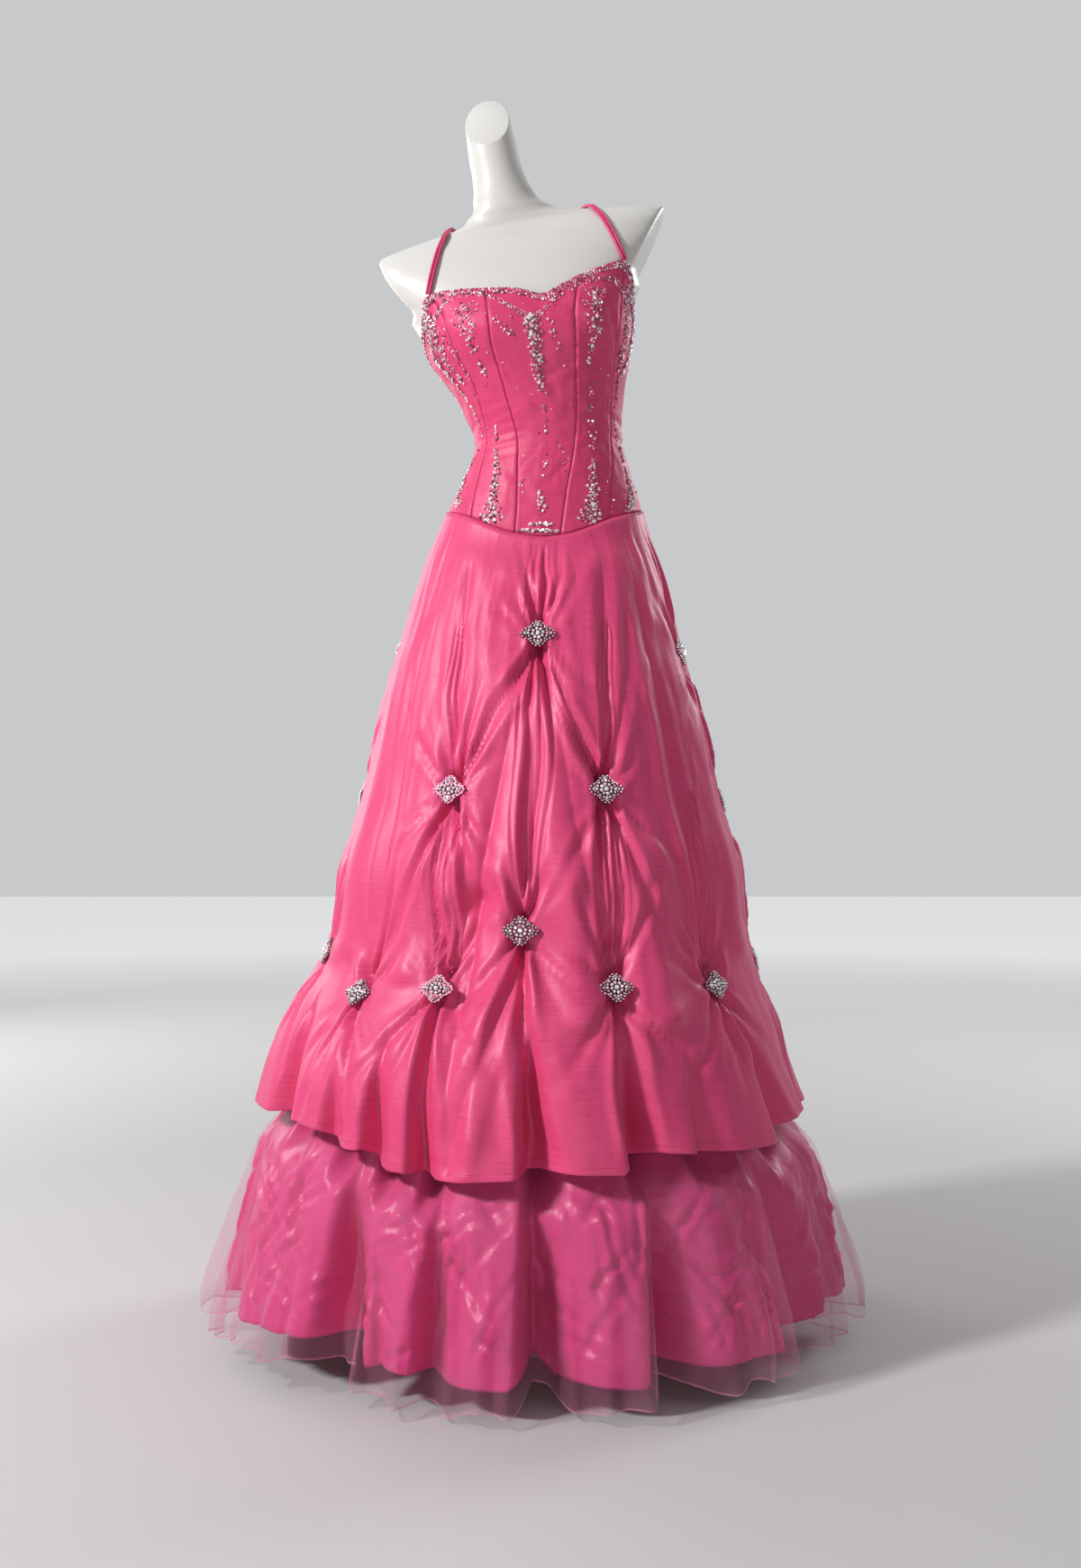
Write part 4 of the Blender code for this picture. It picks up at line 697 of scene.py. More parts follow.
def noiseNode(tree, vector, scale, detail, roughness=0.55, distortion=0.0):
    inputs = {"Vector": vector, "Scale": scale, "Detail": detail, "Roughness": roughness,
              "Distortion": distortion}
    return addNode(tree, "TexNoise", inputs, "Fac")


def rangeNode(tree, value, low, high, fromLow=0.3, fromHigh=0.7):
    inputs = {"Value": value, "From Min": fromLow, "From Max": fromHigh, "To Min": low,
              "To Max": high}
    return addNode(tree, "MapRange", inputs, "Result")


def mathNode(tree, operation, first, second):
    return addNode(tree, "Math", {0: first, 1: second}, "Value", operation=operation)


def blendColours(tree, share, first, second):
    node = tree.nodes.new("ShaderNodeMix")
    node.data_type = "RGBA"
    feed(tree, node, {"Factor": share})
    colourInputs = [item for item in node.inputs if item.type == "RGBA"]
    for item, colour in zip(colourInputs, (first, second)):
        item.default_value = (*colour, 1.0)
    return [item for item in node.outputs if item.type == "RGBA"][0]


def bumpNode(tree, height, strength, distance, before=None):
    inputs = {"Height": height, "Strength": strength, "Distance": distance}
    if before is not None:
        inputs["Normal"] = before
    return addNode(tree, "Bump", inputs, "Normal")


def woven(name, light, deep, roughness, sheen, wrinkle, facets):
    # A shot taffeta or satin: slubs along the weft, a fine weave, soft small wrinkles, and
    # flat facets with sharp edges, of the size and the height in facets.
    material, tree, shader = newMaterial(name)
    weft = noiseNode(tree, coordinates(tree, 26.0, 720.0), 1.0, 2.0)
    warp = noiseNode(tree, coordinates(tree, 900.0, 40.0), 1.0, 2.0)
    cloud = noiseNode(tree, coordinates(tree, 9.0, 5.0), 1.0, 3.0)
    share = mathNode(tree, "MULTIPLY", rangeNode(tree, weft, 0.0, 1.0), 0.55)
    share = mathNode(tree, "ADD", share, mathNode(tree, "MULTIPLY", cloud, 0.45))
    small = noiseNode(tree, coordinates(tree, 34.0, 16.0), 1.0, 4.0, 0.6, 1.2)
    creases = mathNode(tree, "ABSOLUTE", mathNode(tree, "SUBTRACT", small, 0.5), 0.0)
    creases = rangeNode(tree, creases, 1.0, 0.0, 0.0, 0.12)
    bend = noiseNode(tree, coordinates(tree, 10.0, 10.0), 1.0, 2.0)
    bent = {0: bend, 1: (1.1, 0.7, 0.0), 2: coordinates(tree, facets[0], facets[1])}
    bent = addNode(tree, "VectorMath", bent, "Vector", operation="MULTIPLY_ADD")
    cells = addNode(tree, "TexVoronoi", {"Vector": bent, "Scale": 1.0}, "Distance")
    normal = bumpNode(tree, cells, 1.0, facets[2])
    normal = bumpNode(tree, creases, wrinkle, 0.0010, normal)
    normal = bumpNode(tree, mathNode(tree, "ADD", weft, warp), 0.22, 0.0003, normal)
    feed(tree, shader, {
        "Base Color": blendColours(tree, share, deep, light),
        "Roughness": rangeNode(tree, weft, roughness - 0.05, roughness + 0.06),
        "Normal": normal,
        "Specular IOR Level": 0.50,
        "Specular Tint": colours["highlight"],
        "Sheen Weight": sheen,
        "Sheen Roughness": 0.35,
        "Sheen Tint": colours["sheen"],
        "Anisotropic": 0.35,
    })
    return material


def netMaterial(name, colour):
    material, tree, shader = newMaterial(name)
    cloud = noiseNode(tree, coordinates(tree, 14.0, 9.0), 1.0, 3.0)
    net = noiseNode(tree, coordinates(tree, 560.0, 560.0), 1.0, 1.0)
    pale = tuple(min(1.0, value * 1.15 + 0.04) for value in colour)
    alpha = rangeNode(tree, cloud, 0.13, 0.19)
    alpha = mathNode(tree, "ADD", alpha, rangeNode(tree, net, -0.03, 0.05))
    # The raw edge catches more light.
    rise = addNode(tree, "SeparateXYZ", {"Vector": coordinates(tree, 1.0, 1.0)}, "Y")
    alpha = mathNode(tree, "ADD", alpha, rangeNode(tree, rise, 0.34, 0.0, 0.0012, 0.0032))
    feed(tree, shader, {
        "Base Color": blendColours(tree, cloud, colour, pale),
        "Alpha": alpha,
        "Normal": bumpNode(tree, net, 0.3, 0.0006),
        "Roughness": 0.62,
        "Sheen Weight": 0.5,
        "Sheen Tint": colours["highlight"],
    })
    return material


def formMaterial(name, colour):
    material, tree, shader = newMaterial(name)
    vector = coordinates(tree, 1.0, 1.0, 1.0, "object")
    cloud = noiseNode(tree, vector, 6.0, 4.0)
    grain = noiseNode(tree, vector, 340.0, 2.0)
    warm = (colour[0], colour[1] * 0.985, colour[2] * 0.955)
    feed(tree, shader, {
        "Base Color": blendColours(tree, cloud, colour, warm),
        "Roughness": rangeNode(tree, cloud, 0.30, 0.40),
        "Normal": bumpNode(tree, grain, 0.12, 0.0003),
        "Coat Weight": 0.15,
        "Coat Roughness": 0.25,
    })
    return material


def metalMaterial(name, colour, roughness, stretch, metallic=1.0):
    material, tree, shader = newMaterial(name)
    brushed = noiseNode(tree, coordinates(tree, *stretch, "object"), 1.0, 3.0)
    wear = noiseNode(tree, coordinates(tree, 30.0, 30.0, 30.0, "object"), 1.0, 3.0)
    dull = tuple(value * 0.82 for value in colour)
    feed(tree, shader, {
        "Base Color": blendColours(tree, wear, dull, colour),
        "Roughness": rangeNode(tree, brushed, roughness - 0.07, roughness + 0.09),
        "Normal": bumpNode(tree, brushed, 0.15, 0.0002),
        "Metallic": metallic,
    })
    return material


def crystalMaterial(name):
    # Each stone's tone picks its colour out of the ramp: clear is the crystal's own colour, rose is
    # painted reflection of the pink cloth and dark wine is painted shade.
    material, tree, shader = newMaterial(name)
    ramp = tree.nodes.new("ShaderNodeValToRGB")
    stops = ramp.color_ramp.elements
    for place, (position, colour) in enumerate(crystalAndPaintedReflectionTones):
        stop = stops[place] if place < 2 else stops.new(position)
        stop.color = (*colour, 1.0)
    tone = addNode(tree, "Attribute", {}, "Fac", attribute_name="tone")
    feed(tree, ramp, {"Fac": tone})
    shine = noiseNode(tree, coordinates(tree, 400.0, 400.0, 400.0, "object"), 1.0, 1.0)
    feed(tree, shader, {
        "Base Color": ramp.outputs["Color"],
        "Roughness": rangeNode(tree, shine, 0.05, 0.15),
        "Metallic": 0.30,
        "Coat Weight": 0.6,
        "Coat Roughness": 0.03,
        "Specular IOR Level": 0.9,
    })
    return material


taffeta = woven("taffeta", colours["taffeta"], colours["taffetaDeep"], 0.44, 0.12, 0.12,
                (30.0, 9.0, 0.0011))
lining = woven("underskirtTaffeta", colours["underskirt"], colours["underskirtDeep"], 0.38,
               0.08, 0.18, (52.0, 34.0, 0.0016))
satin = woven("bodiceSatin", colours["bodice"], colours["bodiceDeep"], 0.50, 0.14, 0.10,
              (60.0, 26.0, 0.0012))
strapSatin = woven("strapSatin", colours["strap"], colours["bodiceDeep"], 0.45, 0.25, 0.05,
                   (200.0, 60.0, 0.0002))
net = netMaterial("tulle", colours["tulle"])
moulded = formMaterial("formWhite", colours["form"])
steel = metalMaterial("standMetal", colours["metal"], 0.34, (60.0, 60.0, 900.0))
zipMetal = metalMaterial("zipMetal", colours["zip"], 0.34, (500.0, 500.0, 500.0))
silver = metalMaterial("broochSilver", colours["silver"], 0.16, (700.0, 700.0, 700.0), 0.8)
wine = metalMaterial("broochEdge", colours["broochEdge"], 0.32, (500.0, 500.0, 500.0))
stones = crystalMaterial("crystals")
for name, material in (
    ("form_pole", steel),
    ("form_foot", steel),
    ("zip_slider", zipMetal),
    ("zip_pull_tab", zipMetal),
):
    nodes[name].data.materials.clear()
    nodes[name].data.materials.append(material)
print("materials: made")


# Pieces
def pieceName(node):
    first, *rest = node.split("_")
    return first + "".join(word.title() for word in rest)


def meshFrom(name, bm):
    mesh = bpy.data.meshes.new(name)
    bm.to_mesh(mesh)
    bm.free()
    return mesh


def addObject(name, data):
    made = bpy.data.objects.new(name, data)
    bpy.context.scene.collection.objects.link(made)
    return made


def addPiece(name, bm, materials, replaced, flatShaded=False):
    mesh = meshFrom(name, bm)
    if not flatShaded:
        mesh.shade_smooth()
    for material in materials:
        mesh.materials.append(material)
    piece = addObject(name, mesh)
    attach(piece, gown)
    if replaced:
        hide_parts(*replaced)
    return piece


def addGrid(bm, columns, rows):
    # A flat grid, and how far across and up it each of its corners is.
    bmesh.ops.create_grid(bm, x_segments=columns, y_segments=rows, size=0.5)
    bm.verts.ensure_lookup_table()
    corners = np.array([vert.co[:] for vert in bm.verts]) + 0.5
    return corners[:, 0], corners[:, 1]


def moveTo(bm, points):
    for vert, point in zip(bm.verts, points):
        vert.co = point


def closeEnds(bm):
    bmesh.ops.holes_fill(bm, edges=[edge for edge in bm.edges if edge.is_boundary])
    bmesh.ops.recalc_face_normals(bm, faces=bm.faces[:])


def clothPiece(node, columns, rows, place, material, wall):
    # A fine grid laid onto its surface, with a thin wall toward the inside.
    bm = bmesh.new()
    across, up = addGrid(bm, columns, rows)
    points, flat = place(across, 1 - up)
    moveTo(bm, points)
    uv = bm.loops.layers.uv.new("cloth")
    for face in bm.faces:
        for loop in face.loops:
            loop[uv].uv = flat[loop.vert.index]
    piece = addPiece(pieceName(node), bm, [material], [node])
    if wall:
        shell = piece.modifiers.new("wall", "SOLIDIFY")
        shell.thickness = wall
        shell.offset = -1.0
    return piece


# The form
def buildForm():
    bm = bmesh.new()
    across, up = addGrid(bm, form["columns"], form["rows"])
    # Rows crowd together over the shoulders, where the rings narrow fast.
    steps = (0.0, 0.45, 0.80, 0.92, 1.0)
    levels = (formRings["level"][0], 1.30, 1.445, 1.50, formRings["level"][-1])
    moveTo(bm, formPoint((across - 0.5) * 360.0, np.interp(up, steps, levels)))
    bmesh.ops.remove_doubles(bm, verts=bm.verts[:], dist=0.00001)
    cut = bmesh.ops.bisect_plane(
        bm,
        geom=bm.verts[:] + bm.edges[:] + bm.faces[:],
        plane_co=neckCut["point"],
        plane_no=Vector(neckCut["normal"]).normalized(),
        clear_outer=True,
    )
    closeEnds(bm)
    rim = [item for item in cut["geom_cut"] if isinstance(item, bmesh.types.BMEdge)]
    bmesh.ops.bevel(
        bm, geom=rim, offset=neckCut["round"], segments=3, profile=0.5, affect="EDGES",
        material=-1,
    )
    arms = [vert for vert in bm.verts if 1.32 < vert.co.z < 1.45 and abs(vert.co.x) > 0.12]
    bmesh.ops.smooth_vert(
        bm, verts=arms, factor=0.5, use_axis_x=True, use_axis_y=True, use_axis_z=True
    )
    piece = addPiece("torso", bm, [moulded], ["form_torso"])
    piece.data.set_sharp_from_angle(angle=math.radians(60))
    return piece


torso = buildForm()
print("form: built")


# The bodice
def seamAzimuth(seam, level):
    if isinstance(seam, float):
        return np.full_like(level, seam)
    return smoothRead(seam, "level", "azimuth", level)


def bodicePanel(node, left, right):
    gap = math.degrees(bodice["seamGap"] / 2 / bodice["radius"])

    def place(across, down):
        level = np.full_like(across, bodice["middle"])
        # The seams lean, so the azimuth and the level are found together.
        for _ in range(12):
            start = seamAzimuth(left, level) + gap
            end = seamAzimuth(right, level) - gap
            azimuth = start + (end - start) * across
            top = edgeLevel(bodiceTop, azimuth)
            level = top + (edgeLevel(bodiceHem, azimuth) - top) * down
        width = np.radians(end - start) * bodice["radius"]
        near = np.minimum(across, 1 - across) * width
        lift = -bodice["groove"] * np.exp(-((near / 0.0011) ** 2))
        lift += bodice["ridge"] * np.exp(-(((near - 0.0030) / 0.0012) ** 2))
        pucker = bodice["pucker"] * np.sin(level * 520 + 3 * np.sin(level * 90))
        lift += pucker * np.exp(-((near / 0.006) ** 2))
        # The turned top edge.
        lift += bodice["groove"] * np.exp(-(((top - level) / 0.0022 - 1.0) ** 2))
        flat = np.stack([np.radians(azimuth) * bodice["radius"], level], axis=-1)
        return bodicePoint(azimuth, level, lift), flat

    middle = np.array([bodice["middle"]])
    span = float(seamAzimuth(right, middle)[0] - seamAzimuth(left, middle)[0])
    columns = max(20, round(span * bodice["columnsPerDegree"]))
    return clothPiece(
        node, columns, bodice["rows"], place, satin, bodice["wall"],
    )


bodiceSeams = (
    -180.0, -bodice["sideSeam"], sideFrontLeft, princessLeft, princessRight, sideFrontRight,
    bodice["sideSeam"], 180.0,
)
bodiceNodes = ("back_left", "side_left", "side_front_left", "front_centre",
               "side_front_right", "side_right", "back_right")
for tail, left, right in zip(bodiceNodes, bodiceSeams, bodiceSeams[1:]):
    bodicePanel(f"bodice_{tail}", left, right)
print("bodice: built")


# The skirts
def skirtPiece(node, surface, spans, levelAt, piece, material, wall):
    def place(across, down):
        azimuth = spans[0] + (spans[1] - spans[0]) * across
        level = levelAt(azimuth, down)
        radius = smoothRead(overskirtRings, "level", "halfWidth", level)
        azimuth = azimuth + np.degrees(skirts["seamGap"] / radius) * (0.5 - across)
        rise = (1 - down) * 0.3 if material == net else level
        flat = np.stack([np.radians(azimuth) * overskirtPiece["radius"], rise], axis=-1)
        return surface(azimuth, level), flat

    columns = round((spans[1] - spans[0]) * piece["columnsPerDegree"])
    return clothPiece(
        node, columns, piece["rows"], place, material, wall
    )


def fromWaist(azimuth, down, hem, rowShare, fallShare):
    # The first rows take up fallShare of the fall from the waist to the hem.
    top = edgeLevel(bodiceHem, azimuth) - skirts["topGap"]
    share = np.interp(down, (0.0, rowShare, 1.0), (0.0, fallShare, 1.0))
    return top + (hemLevel(hem, azimuth) - top) * share


def overskirtLevel(azimuth, down):
    # The last rows close up for the turned hem.
    return fromWaist(azimuth, down, overskirtHem, 0.955, 0.988)


def underskirtLevel(azimuth, down):
    hidden = underskirtPiece["hiddenRows"] / underskirtPiece["rows"]
    return fromWaist(azimuth, down, underskirtHem, hidden, 0.70)


def tulleLevel(azimuth, down):
    angle = np.radians(azimuth)
    hem = hemLevel(underskirtHem, azimuth) - tullePiece["belowTaffeta"]
    hem = hem + tullePiece["hemWave"] * np.sin(angle * 23 + 2.0 * np.sin(angle * 9))
    hem = np.maximum(hem, tullePiece["aboveFloor"])
    return tullePiece["top"] + (hem - tullePiece["top"]) * down


thirds = {
    "front": (leftSeam, rightSeam),
    "back_right": (rightSeam, 180.0),
    "back_left": (180.0, leftSeam + 360.0),
}
overskirt = [
    skirtPiece(
        f"overskirt_{third}", overskirtPoint, spans, overskirtLevel, overskirtPiece, taffeta,
        skirts["wall"],
    )
    for third, spans in thirds.items()
]
print("overskirt: built")
for third, spans in thirds.items():
    skirtPiece(
        f"underskirt_{third}", underskirtPoint, spans, underskirtLevel, underskirtPiece, lining,
        skirts["wall"],
    )
print("underskirt: built")
for node, spans, restsOn in (
    ("tulle_front", thirds["front"], "underskirtFront"),
    ("tulle_back", (rightSeam, leftSeam + 360.0), "underskirtBackRight"),
):
    skirtPiece(
        node, tullePoint, spans, tulleLevel, tullePiece, net, 0.0
    )
print("tulle: built")


# Small things, each made once and copied
def copies(bm, shape, matrices, material=0, layer=None, values=None):
    corners = len(shape.vertices)
    firstVert = len(bm.verts)
    firstFace = len(bm.faces)
    for _ in matrices:
        bm.from_mesh(shape)
    bm.verts.ensure_lookup_table()
    bm.faces.ensure_lookup_table()
    for place, matrix in enumerate(matrices):
        start = firstVert + place * corners
        for vert in bm.verts[start : start + corners]:
            vert.co = matrix @ vert.co
            if layer is not None:
                vert[layer] = values[place]
    for face in bm.faces[firstFace:]:
        face.material_index = material


def smallShape(name, make, **settings):
    bm = bmesh.new()
    make(bm, **settings)
    return meshFrom(name, bm)


def drum(name, sides, low, high, matrix=Matrix.Identity(4)):
    return smallShape(
        name, bmesh.ops.create_cone, cap_ends=True, segments=sides, radius1=low, radius2=high,
        depth=1.0, matrix=matrix,
    )


def ball(name):
    return smallShape(name, bmesh.ops.create_icosphere, subdivisions=1, radius=1.0)


def scaled(x, y, z):
    return Matrix.Diagonal((x, y, z, 1.0))


def pieceTree(pieces):
    verts = []
    faces = []
    for piece in pieces:
        first = len(verts)
        verts += [vert.co.copy() for vert in piece.data.vertices]
        faces += [[first + place for place in face.vertices] for face in piece.data.polygons]
    return BVHTree.FromPolygons(verts, faces)


# Stitches round the overskirt's turned hem
def buildStitches():
    shape = drum("stitch", 5, 0.5, 0.5, Matrix.Rotation(math.pi / 2, 4, "Y"))
    step = math.degrees(skirts["stitch"] / skirts["stitchRadius"])
    starts = np.arange(-180.0, 180.0, step)
    pairs = np.concatenate((starts, starts + step * skirts["stitchShare"]))
    levels = hemLevel(overskirtHem, pairs) + skirts["hemTurn"]
    ends = overskirtPoint(pairs, levels) + outward(pairs) * (skirts["stitchSize"] / 2)
    places = []
    for start, end in zip(ends[: len(starts)], ends[len(starts) :]):
        start = Vector(start)
        along = Vector(end) - start
        turn = along.to_track_quat("X", "Z").to_matrix().to_4x4()
        size = scaled(along.length, skirts["stitchSize"], skirts["stitchSize"])
        places.append(Matrix.Translation(start + along / 2) @ turn @ size)
    bm = bmesh.new()
    copies(bm, shape, places)
    uv = bm.loops.layers.uv.new("cloth")
    for face in bm.faces:
        for loop in face.loops:
            loop[uv].uv = (loop.vert.co.x, loop.vert.co.z)
    addPiece("hemStitches", bm, [strapSatin], [])


buildStitches()
print("stitches: built")


# The brooches
def broochStones():
    # One stone at the middle, a ring round it, then those that fill the corners.
    spots = [(0.0, 0.0, brooch["middleStone"])]
    wide, tall = brooch["ring"]
    for place in range(brooch["ringStones"]):
        angle = place / brooch["ringStones"] * 2 * math.pi + 0.2
        spots.append((wide * math.cos(angle), tall * math.sin(angle), brooch["ringStone"]))
    for x, y, radius in zip(*broochCorners.values()):
        for sideX in (-1, 1) if x else (1,):
            for sideY in (-1, 1) if y else (1,):
                spots.append((x * sideX, y * sideY, radius))
    return spots


def lozenge(angle):
    return 0.86 + 0.14 * math.cos(4 * angle)


def plate(bm):
    # A lozenge with hollowed sides and a beaded edge.
    made = bmesh.ops.create_cone(
        bm, cap_ends=True, segments=40, radius1=0.5, radius2=0.47, depth=brooch["plate"]
    )
    for vert in made["verts"]:
        angle = math.atan2(vert.co.y, vert.co.x)
        reach = lozenge(angle) * (1 + 0.05 * math.cos(20 * angle))
        vert.co.x *= brooch["width"] * reach
        vert.co.y *= brooch["height"] * reach
        vert.co.z += brooch["plate"] / 2


def smoothOverskirt(azimuth, level):
    return skirtRing(overskirtRings, azimuth, level)


def broochSeat(gather, tree):
    # Square to the smooth skirt, and just clear of the highest fold beneath.
    azimuth = np.array([gather["azimuth"]])
    level = np.array([gather["level"]])
    away = lifted(smoothOverskirt, azimuth, level, np.array([1.0]))
    facing = Vector((away - smoothOverskirt(azimuth, level))[0])
    centre = Vector(overskirtPoint(azimuth, level)[0])
    acrossWay = Vector((0, 0, 1)).cross(facing).normalized()
    up = facing.cross(acrossWay)
    height = 0.0
    for stepX in np.linspace(-0.5, 0.5, 9):
        for stepY in np.linspace(-0.5, 0.5, 9):
            if abs(stepX) + abs(stepY) > 0.4:
                continue
            spot = centre + acrossWay * stepX * brooch["width"] + up * stepY * brooch["height"]
            hit = tree.ray_cast(spot + facing * 0.05, -facing, 0.1)[0]
            if hit is not None:
                height = max(height, (hit - centre).dot(facing))
    axes = Matrix((acrossWay, up, facing)).transposed().to_4x4()
    return Matrix.Translation(centre + facing * (height + brooch["seat"])) @ axes


def buildBrooches():
    tree = pieceTree(overskirt)
    rng = random.Random(brooch["seed"])
    spots = broochStones()
    seats = []
    gems = []
    shades = []
    for _, gather in eachRow(gathers):
        seat = broochSeat(gather, tree)
        seats.append(seat)
        for x, y, size in spots:
            reach = 1 - 1.1 * (abs(x) / brooch["width"] + abs(y) / brooch["height"])
            radius = size * rng.uniform(0.88, 1.06)
            at = Vector((x, y, brooch["plate"] + 0.0006 + 0.0020 * reach))
            tilt = Matrix.Rotation(rng.uniform(-brooch["tilt"], brooch["tilt"]), 4, "X")
            tip = Matrix.Rotation(rng.uniform(-brooch["tilt"], brooch["tilt"]), 4, "Y")
            local = seat @ Matrix.Translation(at) @ (tilt @ tip)
            local = local @ scaled(radius, radius, 0.0018 + radius * 0.4)
            gems.append((local, Matrix.Rotation(rng.uniform(0, 1), 4, "Z")))
            # Most stones stay clear, their own colour; the higher tones are painted reflection of the
            # pink cloth.
            shades.append(rng.choice((0.0, 0.0, 0.0, 0.1, 0.2, 0.3, 0.45, 0.62)))
    rim = []
    for place in range(brooch["rimGrains"]):
        angle = place / brooch["rimGrains"] * 2 * math.pi
        reach = lozenge(angle) * 0.5 * 0.93
        at = (
            math.cos(angle) * reach * brooch["width"],
            math.sin(angle) * reach * brooch["height"],
            brooch["plate"] + 0.0005,
        )
        rim.append(Matrix.Translation(at) @ scaled(*(brooch["grain"],) * 3))
    metal = bmesh.new()
    copies(metal, smallShape("plate", plate), seats, 1)
    cup = drum("cup", 8, 1.0, 0.96, Matrix.Translation((0, 0, -0.9)))
    cupSize = scaled(brooch["cup"], brooch["cup"], 0.5)
    copies(metal, cup, [local @ cupSize for local, _ in gems], 1)
    copies(metal, ball("grain"), [seat @ grain for seat in seats for grain in rim])
    crystal = bmesh.new()
    tone = crystal.verts.layers.float.new("tone")
    gem = drum("gem", 8, 1.0, 0.55)
    copies(crystal, gem, [local @ spin for local, spin in gems], 0, tone, shades)
    names = [f"brooch_{row + 1:02d}" for row in range(len(seats))]
    addPiece("broochSettings", metal, [silver, wine], names, flatShaded=True)
    addPiece("broochCrystals", crystal, [stones], [], flatShaded=True)


buildBrooches()
print("brooches: built")


# Beads and crystals on the bodice
def beadSpots(rng):
    spots = []

    def scatter(azimuth, level, scale):
        kind = rng.random()
        tone = rng.choice((0.0, 0.15, 0.35, 0.45, 0.52))
        # Dark wine beads are painted shade and rose beads are painted reflection of the pink cloth; the
        # rest keep the clear beads' own tones.
        if kind > beads["paintedShadeFrom"]:
            tone = rng.uniform(0.8, 1.0)
        elif kind > beads["paintedReflectionFrom"]:
            tone = rng.uniform(0.5, 0.76)
        radius = beads["radius"] * scale * rng.choice(beads["sizes"])
        spots.append((azimuth, level, radius, tone))

    # Four rows close together along the top edge, all the way round.
    for place, drop in enumerate(beads["topDrops"]):
        azimuth = -179.6 + place * 0.7
        while azimuth < 179.6:
            top = edgeAt(bodiceTop, azimuth)
            slope = edgeAt(bodiceTop, azimuth + 1.0) - top
            run = math.hypot(math.radians(1.0) * 0.115, slope)
            strength = 1.0 if abs(azimuth) < 118 else 0.72
            scatter(azimuth, top - drop + rng.uniform(-0.0007, 0.0007), 0.95 * strength)
            azimuth += beads["topSpacing"] / run * rng.uniform(0.85, 1.15)
    azimuth = float(secondRow["azimuth"][0])
    while azimuth < float(secondRow["azimuth"][-1]):
        level = float(hemLevel(secondRow, azimuth))
        ahead = float(hemLevel(secondRow, azimuth + 1.0))
        run = math.hypot(math.radians(1.0) * bodice["radius"], ahead - level)
        for drop in beads["rowDrops"]:
            scatter(azimuth, level - drop + rng.uniform(-0.0010, 0.0010), 0.85)
        azimuth += beads["rowSpacing"] / run * rng.uniform(0.8, 1.2)
    for _, run in eachRow(beadRuns):
        for _ in range(int(run["count"] * beads["more"])):
            part = rng.random()
            off = min(max(rng.gauss(0, 0.48), -1.0), 1.0) * between(run, "half", part)
            azimuth = between(run, "azimuth", part) + math.degrees(off / bodice["radius"])
            level = between(run, "level", part) + rng.uniform(-0.0015, 0.0015)
            scatter(azimuth, level, run["size"])
    for _ in range(beads["loose"]):
        scatter(rng.uniform(-175.0, 175.0), rng.uniform(1.05, 1.32), 0.8)
    return spots


def buildBeads():
    rng = random.Random(beads["seed"])
    kept = [
        spot for spot in beadSpots(rng)
        if edgeAt(bodiceHem, spot[0]) + 0.002 < spot[1] < edgeAt(bodiceTop, spot[0]) - 0.0008
    ]
    azimuths = np.array([spot[0] for spot in kept])
    levels = np.array([spot[1] for spot in kept])
    low = bodicePoint(azimuths, levels, np.zeros_like(levels))
    high = bodicePoint(azimuths, levels, np.full_like(levels, 0.001))
    places = []
    for (_, _, radius, _), point, way in zip(kept, low, high - low):
        facing = Vector(way).normalized()
        turn = facing.to_track_quat("Z", "Y").to_matrix().to_4x4()
        spin = Matrix.Rotation(rng.uniform(0, 3), 4, "Z")
        seat = Matrix.Translation(Vector(point) + facing * radius * 0.55)
        places.append(seat @ turn @ scaled(radius, radius, radius * 0.72) @ spin)
    bm = bmesh.new()
    tone = bm.verts.layers.float.new("tone")
    copies(bm, ball("bead"), places, 0, tone, [spot[3] for spot in kept])
    print("beads:", len(kept))
    addPiece("bodiceBeads", bm, [stones], [], flatShaded=True)


buildBeads()
print("beads: built")


# The straps, each two rolled tubes side by side
def strapRoute(node):
    # The plain strap in the frame is a row of rings of corners. Their middles, to a tenth
    # of a millimetre and from the front to the back, are the strap's middle line.
    corners = np.array([vert.co[:] for vert in nodes[node].data.vertices])
    single = np.unique(np.round(corners, 5), axis=0, return_index=True)[1]
    corners = corners[single]
    middle = corners[np.argmin(corners[:, 1])]
    route = []
    while len(corners):
        nearest = corners[np.argmin(np.linalg.norm(corners - middle, axis=1))]
        order = np.argsort(np.linalg.norm(corners - nearest, axis=1))
        middle = corners[order[: strap["ringCorners"]]].mean(axis=0)
        corners = corners[order[strap["ringCorners"] :]]
        route.append(middle)
    return np.round(route, 4)


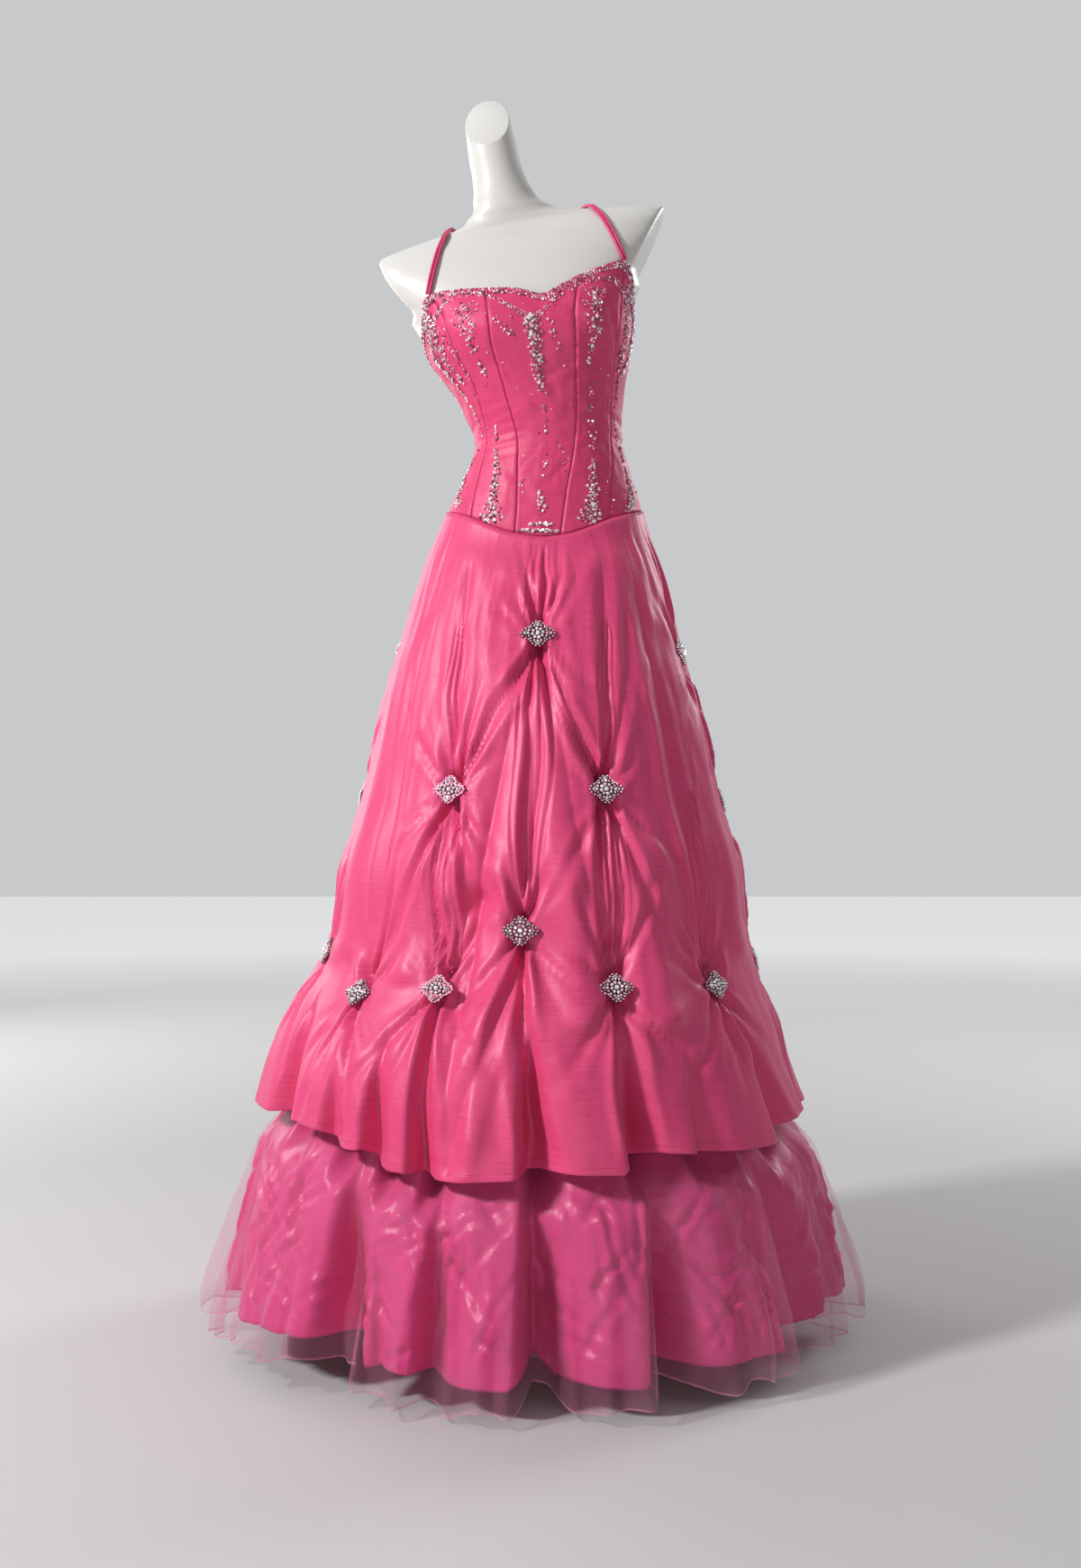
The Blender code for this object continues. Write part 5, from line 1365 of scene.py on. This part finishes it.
def buildStrap(node):
    tree = pieceTree([torso])
    steps = strap["steps"]
    route = strapRoute(node)
    lengths = np.cumsum(np.linalg.norm(np.diff(route, axis=0), axis=1))
    rows = {"along": np.concatenate(([0.0], lengths)), **dict(zip("xyz", route.T))}
    places = np.linspace(0, lengths[-1], steps)
    centres = stack(*(smoothRead(rows, "along", axis, places) for axis in "xyz"))
    bm = bmesh.new()
    uv = bm.loops.layers.uv.new("cloth")
    for side in (-1, 1):
        first = len(bm.verts)
        bmesh.ops.create_grid(bm, x_segments=strap["sides"], y_segments=steps - 1, size=0.5)
        bm.verts.ensure_lookup_table()
        for vert in bm.verts[first:]:
            turn = (vert.co.x + 0.5) * 2 * math.pi
            step = round((vert.co.y + 0.5) * (steps - 1))
            for loop in vert.link_loops:
                loop[uv].uv = (turn * strap["radius"], places[step])
            centre = Vector(centres[step])
            ahead = Vector(centres[min(step + 1, steps - 1)])
            ahead = (ahead - Vector(centres[max(step - 1, 0)])).normalized()
            away = centre - tree.find_nearest(centre)[0]
            acrossWay = ahead.cross(away).normalized()
            away = acrossWay.cross(ahead).normalized()
            # The two tubes lie a little nearer here and there, and aren't evenly thick.
            sway = strap["apart"] * (0.93 + 0.10 * math.sin(places[step] * 38 + side))
            radius = strap["radius"] * (1 + 0.05 * math.sin(places[step] * 410 + side * 2))
            offset = acrossWay * (side * sway + radius * math.cos(turn))
            vert.co = centre + offset + away * radius * math.sin(turn)
    bmesh.ops.remove_doubles(bm, verts=bm.verts[:], dist=0.00001)
    closeEnds(bm)
    addPiece(pieceName(node), bm, [strapSatin], [node])


for node in ("strap_left", "strap_right"):
    buildStrap(node)
print("straps: built")


# The studio
def buildFloor():
    bm = bmesh.new()
    bmesh.ops.create_grid(bm, x_segments=1, y_segments=1, size=studio["floorHalf"])
    floor = addObject("floor", meshFrom("floor", bm))
    floor.location.z = studio["floorLevel"]
    material, tree, shader = newMaterial("paleFloor")
    vector = coordinates(tree, 1.0, 1.0, 1.0, "object")
    cloud = noiseNode(tree, vector, 3.0, 3.0)
    dim = tuple(value * 0.97 for value in studio["floor"])
    # Far off, the floor glows, a painted light that turns it into the backdrop.
    reach = addNode(tree, "VectorMath", {0: vector}, "Value", operation="LENGTH")
    feed(tree, shader, {
        "Base Color": blendColours(tree, cloud, dim, studio["floor"]),
        "Roughness": 0.7,
        "Emission Strength": rangeNode(tree, reach, 0.0, studio["backdrop"], 1.3, 5.5),
        "Emission Color": (*studio["sky"], 1.0),
    })
    floor.data.materials.append(material)


def buildStudio():
    world = bpy.data.worlds.new("studio")
    world.use_nodes = True
    tree = world.node_tree
    # The backdrop looks paler, also in a reflection, than the light that it gives.
    soft = addNode(tree, "LightPath", {}, "Is Diffuse Ray")
    strength = rangeNode(tree, soft, studio["backdrop"], studio["skyStrength"], 0.0, 1.0)
    sky = {"Color": (*studio["sky"], 1.0), "Strength": strength}
    feed(tree, tree.nodes["Background"], sky)
    bpy.context.scene.world = world

    for name in ("key", "fill", "rim", "back", "overhead"):
        lamp = bpy.data.lights.new(name, "AREA")
        lamp.energy = studio[name]["watts"]
        lamp.size = studio[name]["size"]
        light = addObject(name, lamp)
        light.location = studio[name]["at"]
        aim = Vector(studio["aim"]) - Vector(studio[name]["at"])
        light.rotation_euler = aim.to_track_quat("-Z", "Y").to_euler()

    lens = bpy.data.cameras.new("camera")
    lens.lens = view["lens"]
    lens.sensor_width = view["sensor"]
    camera = addObject("camera", lens)
    camera.location = view["place"]
    camera.rotation_euler = (math.pi / 2, 0, 0)
    bpy.context.scene.camera = camera
    bpy.context.scene.view_settings.view_transform = "Standard"


buildFloor()
buildStudio()
print("studio: built")
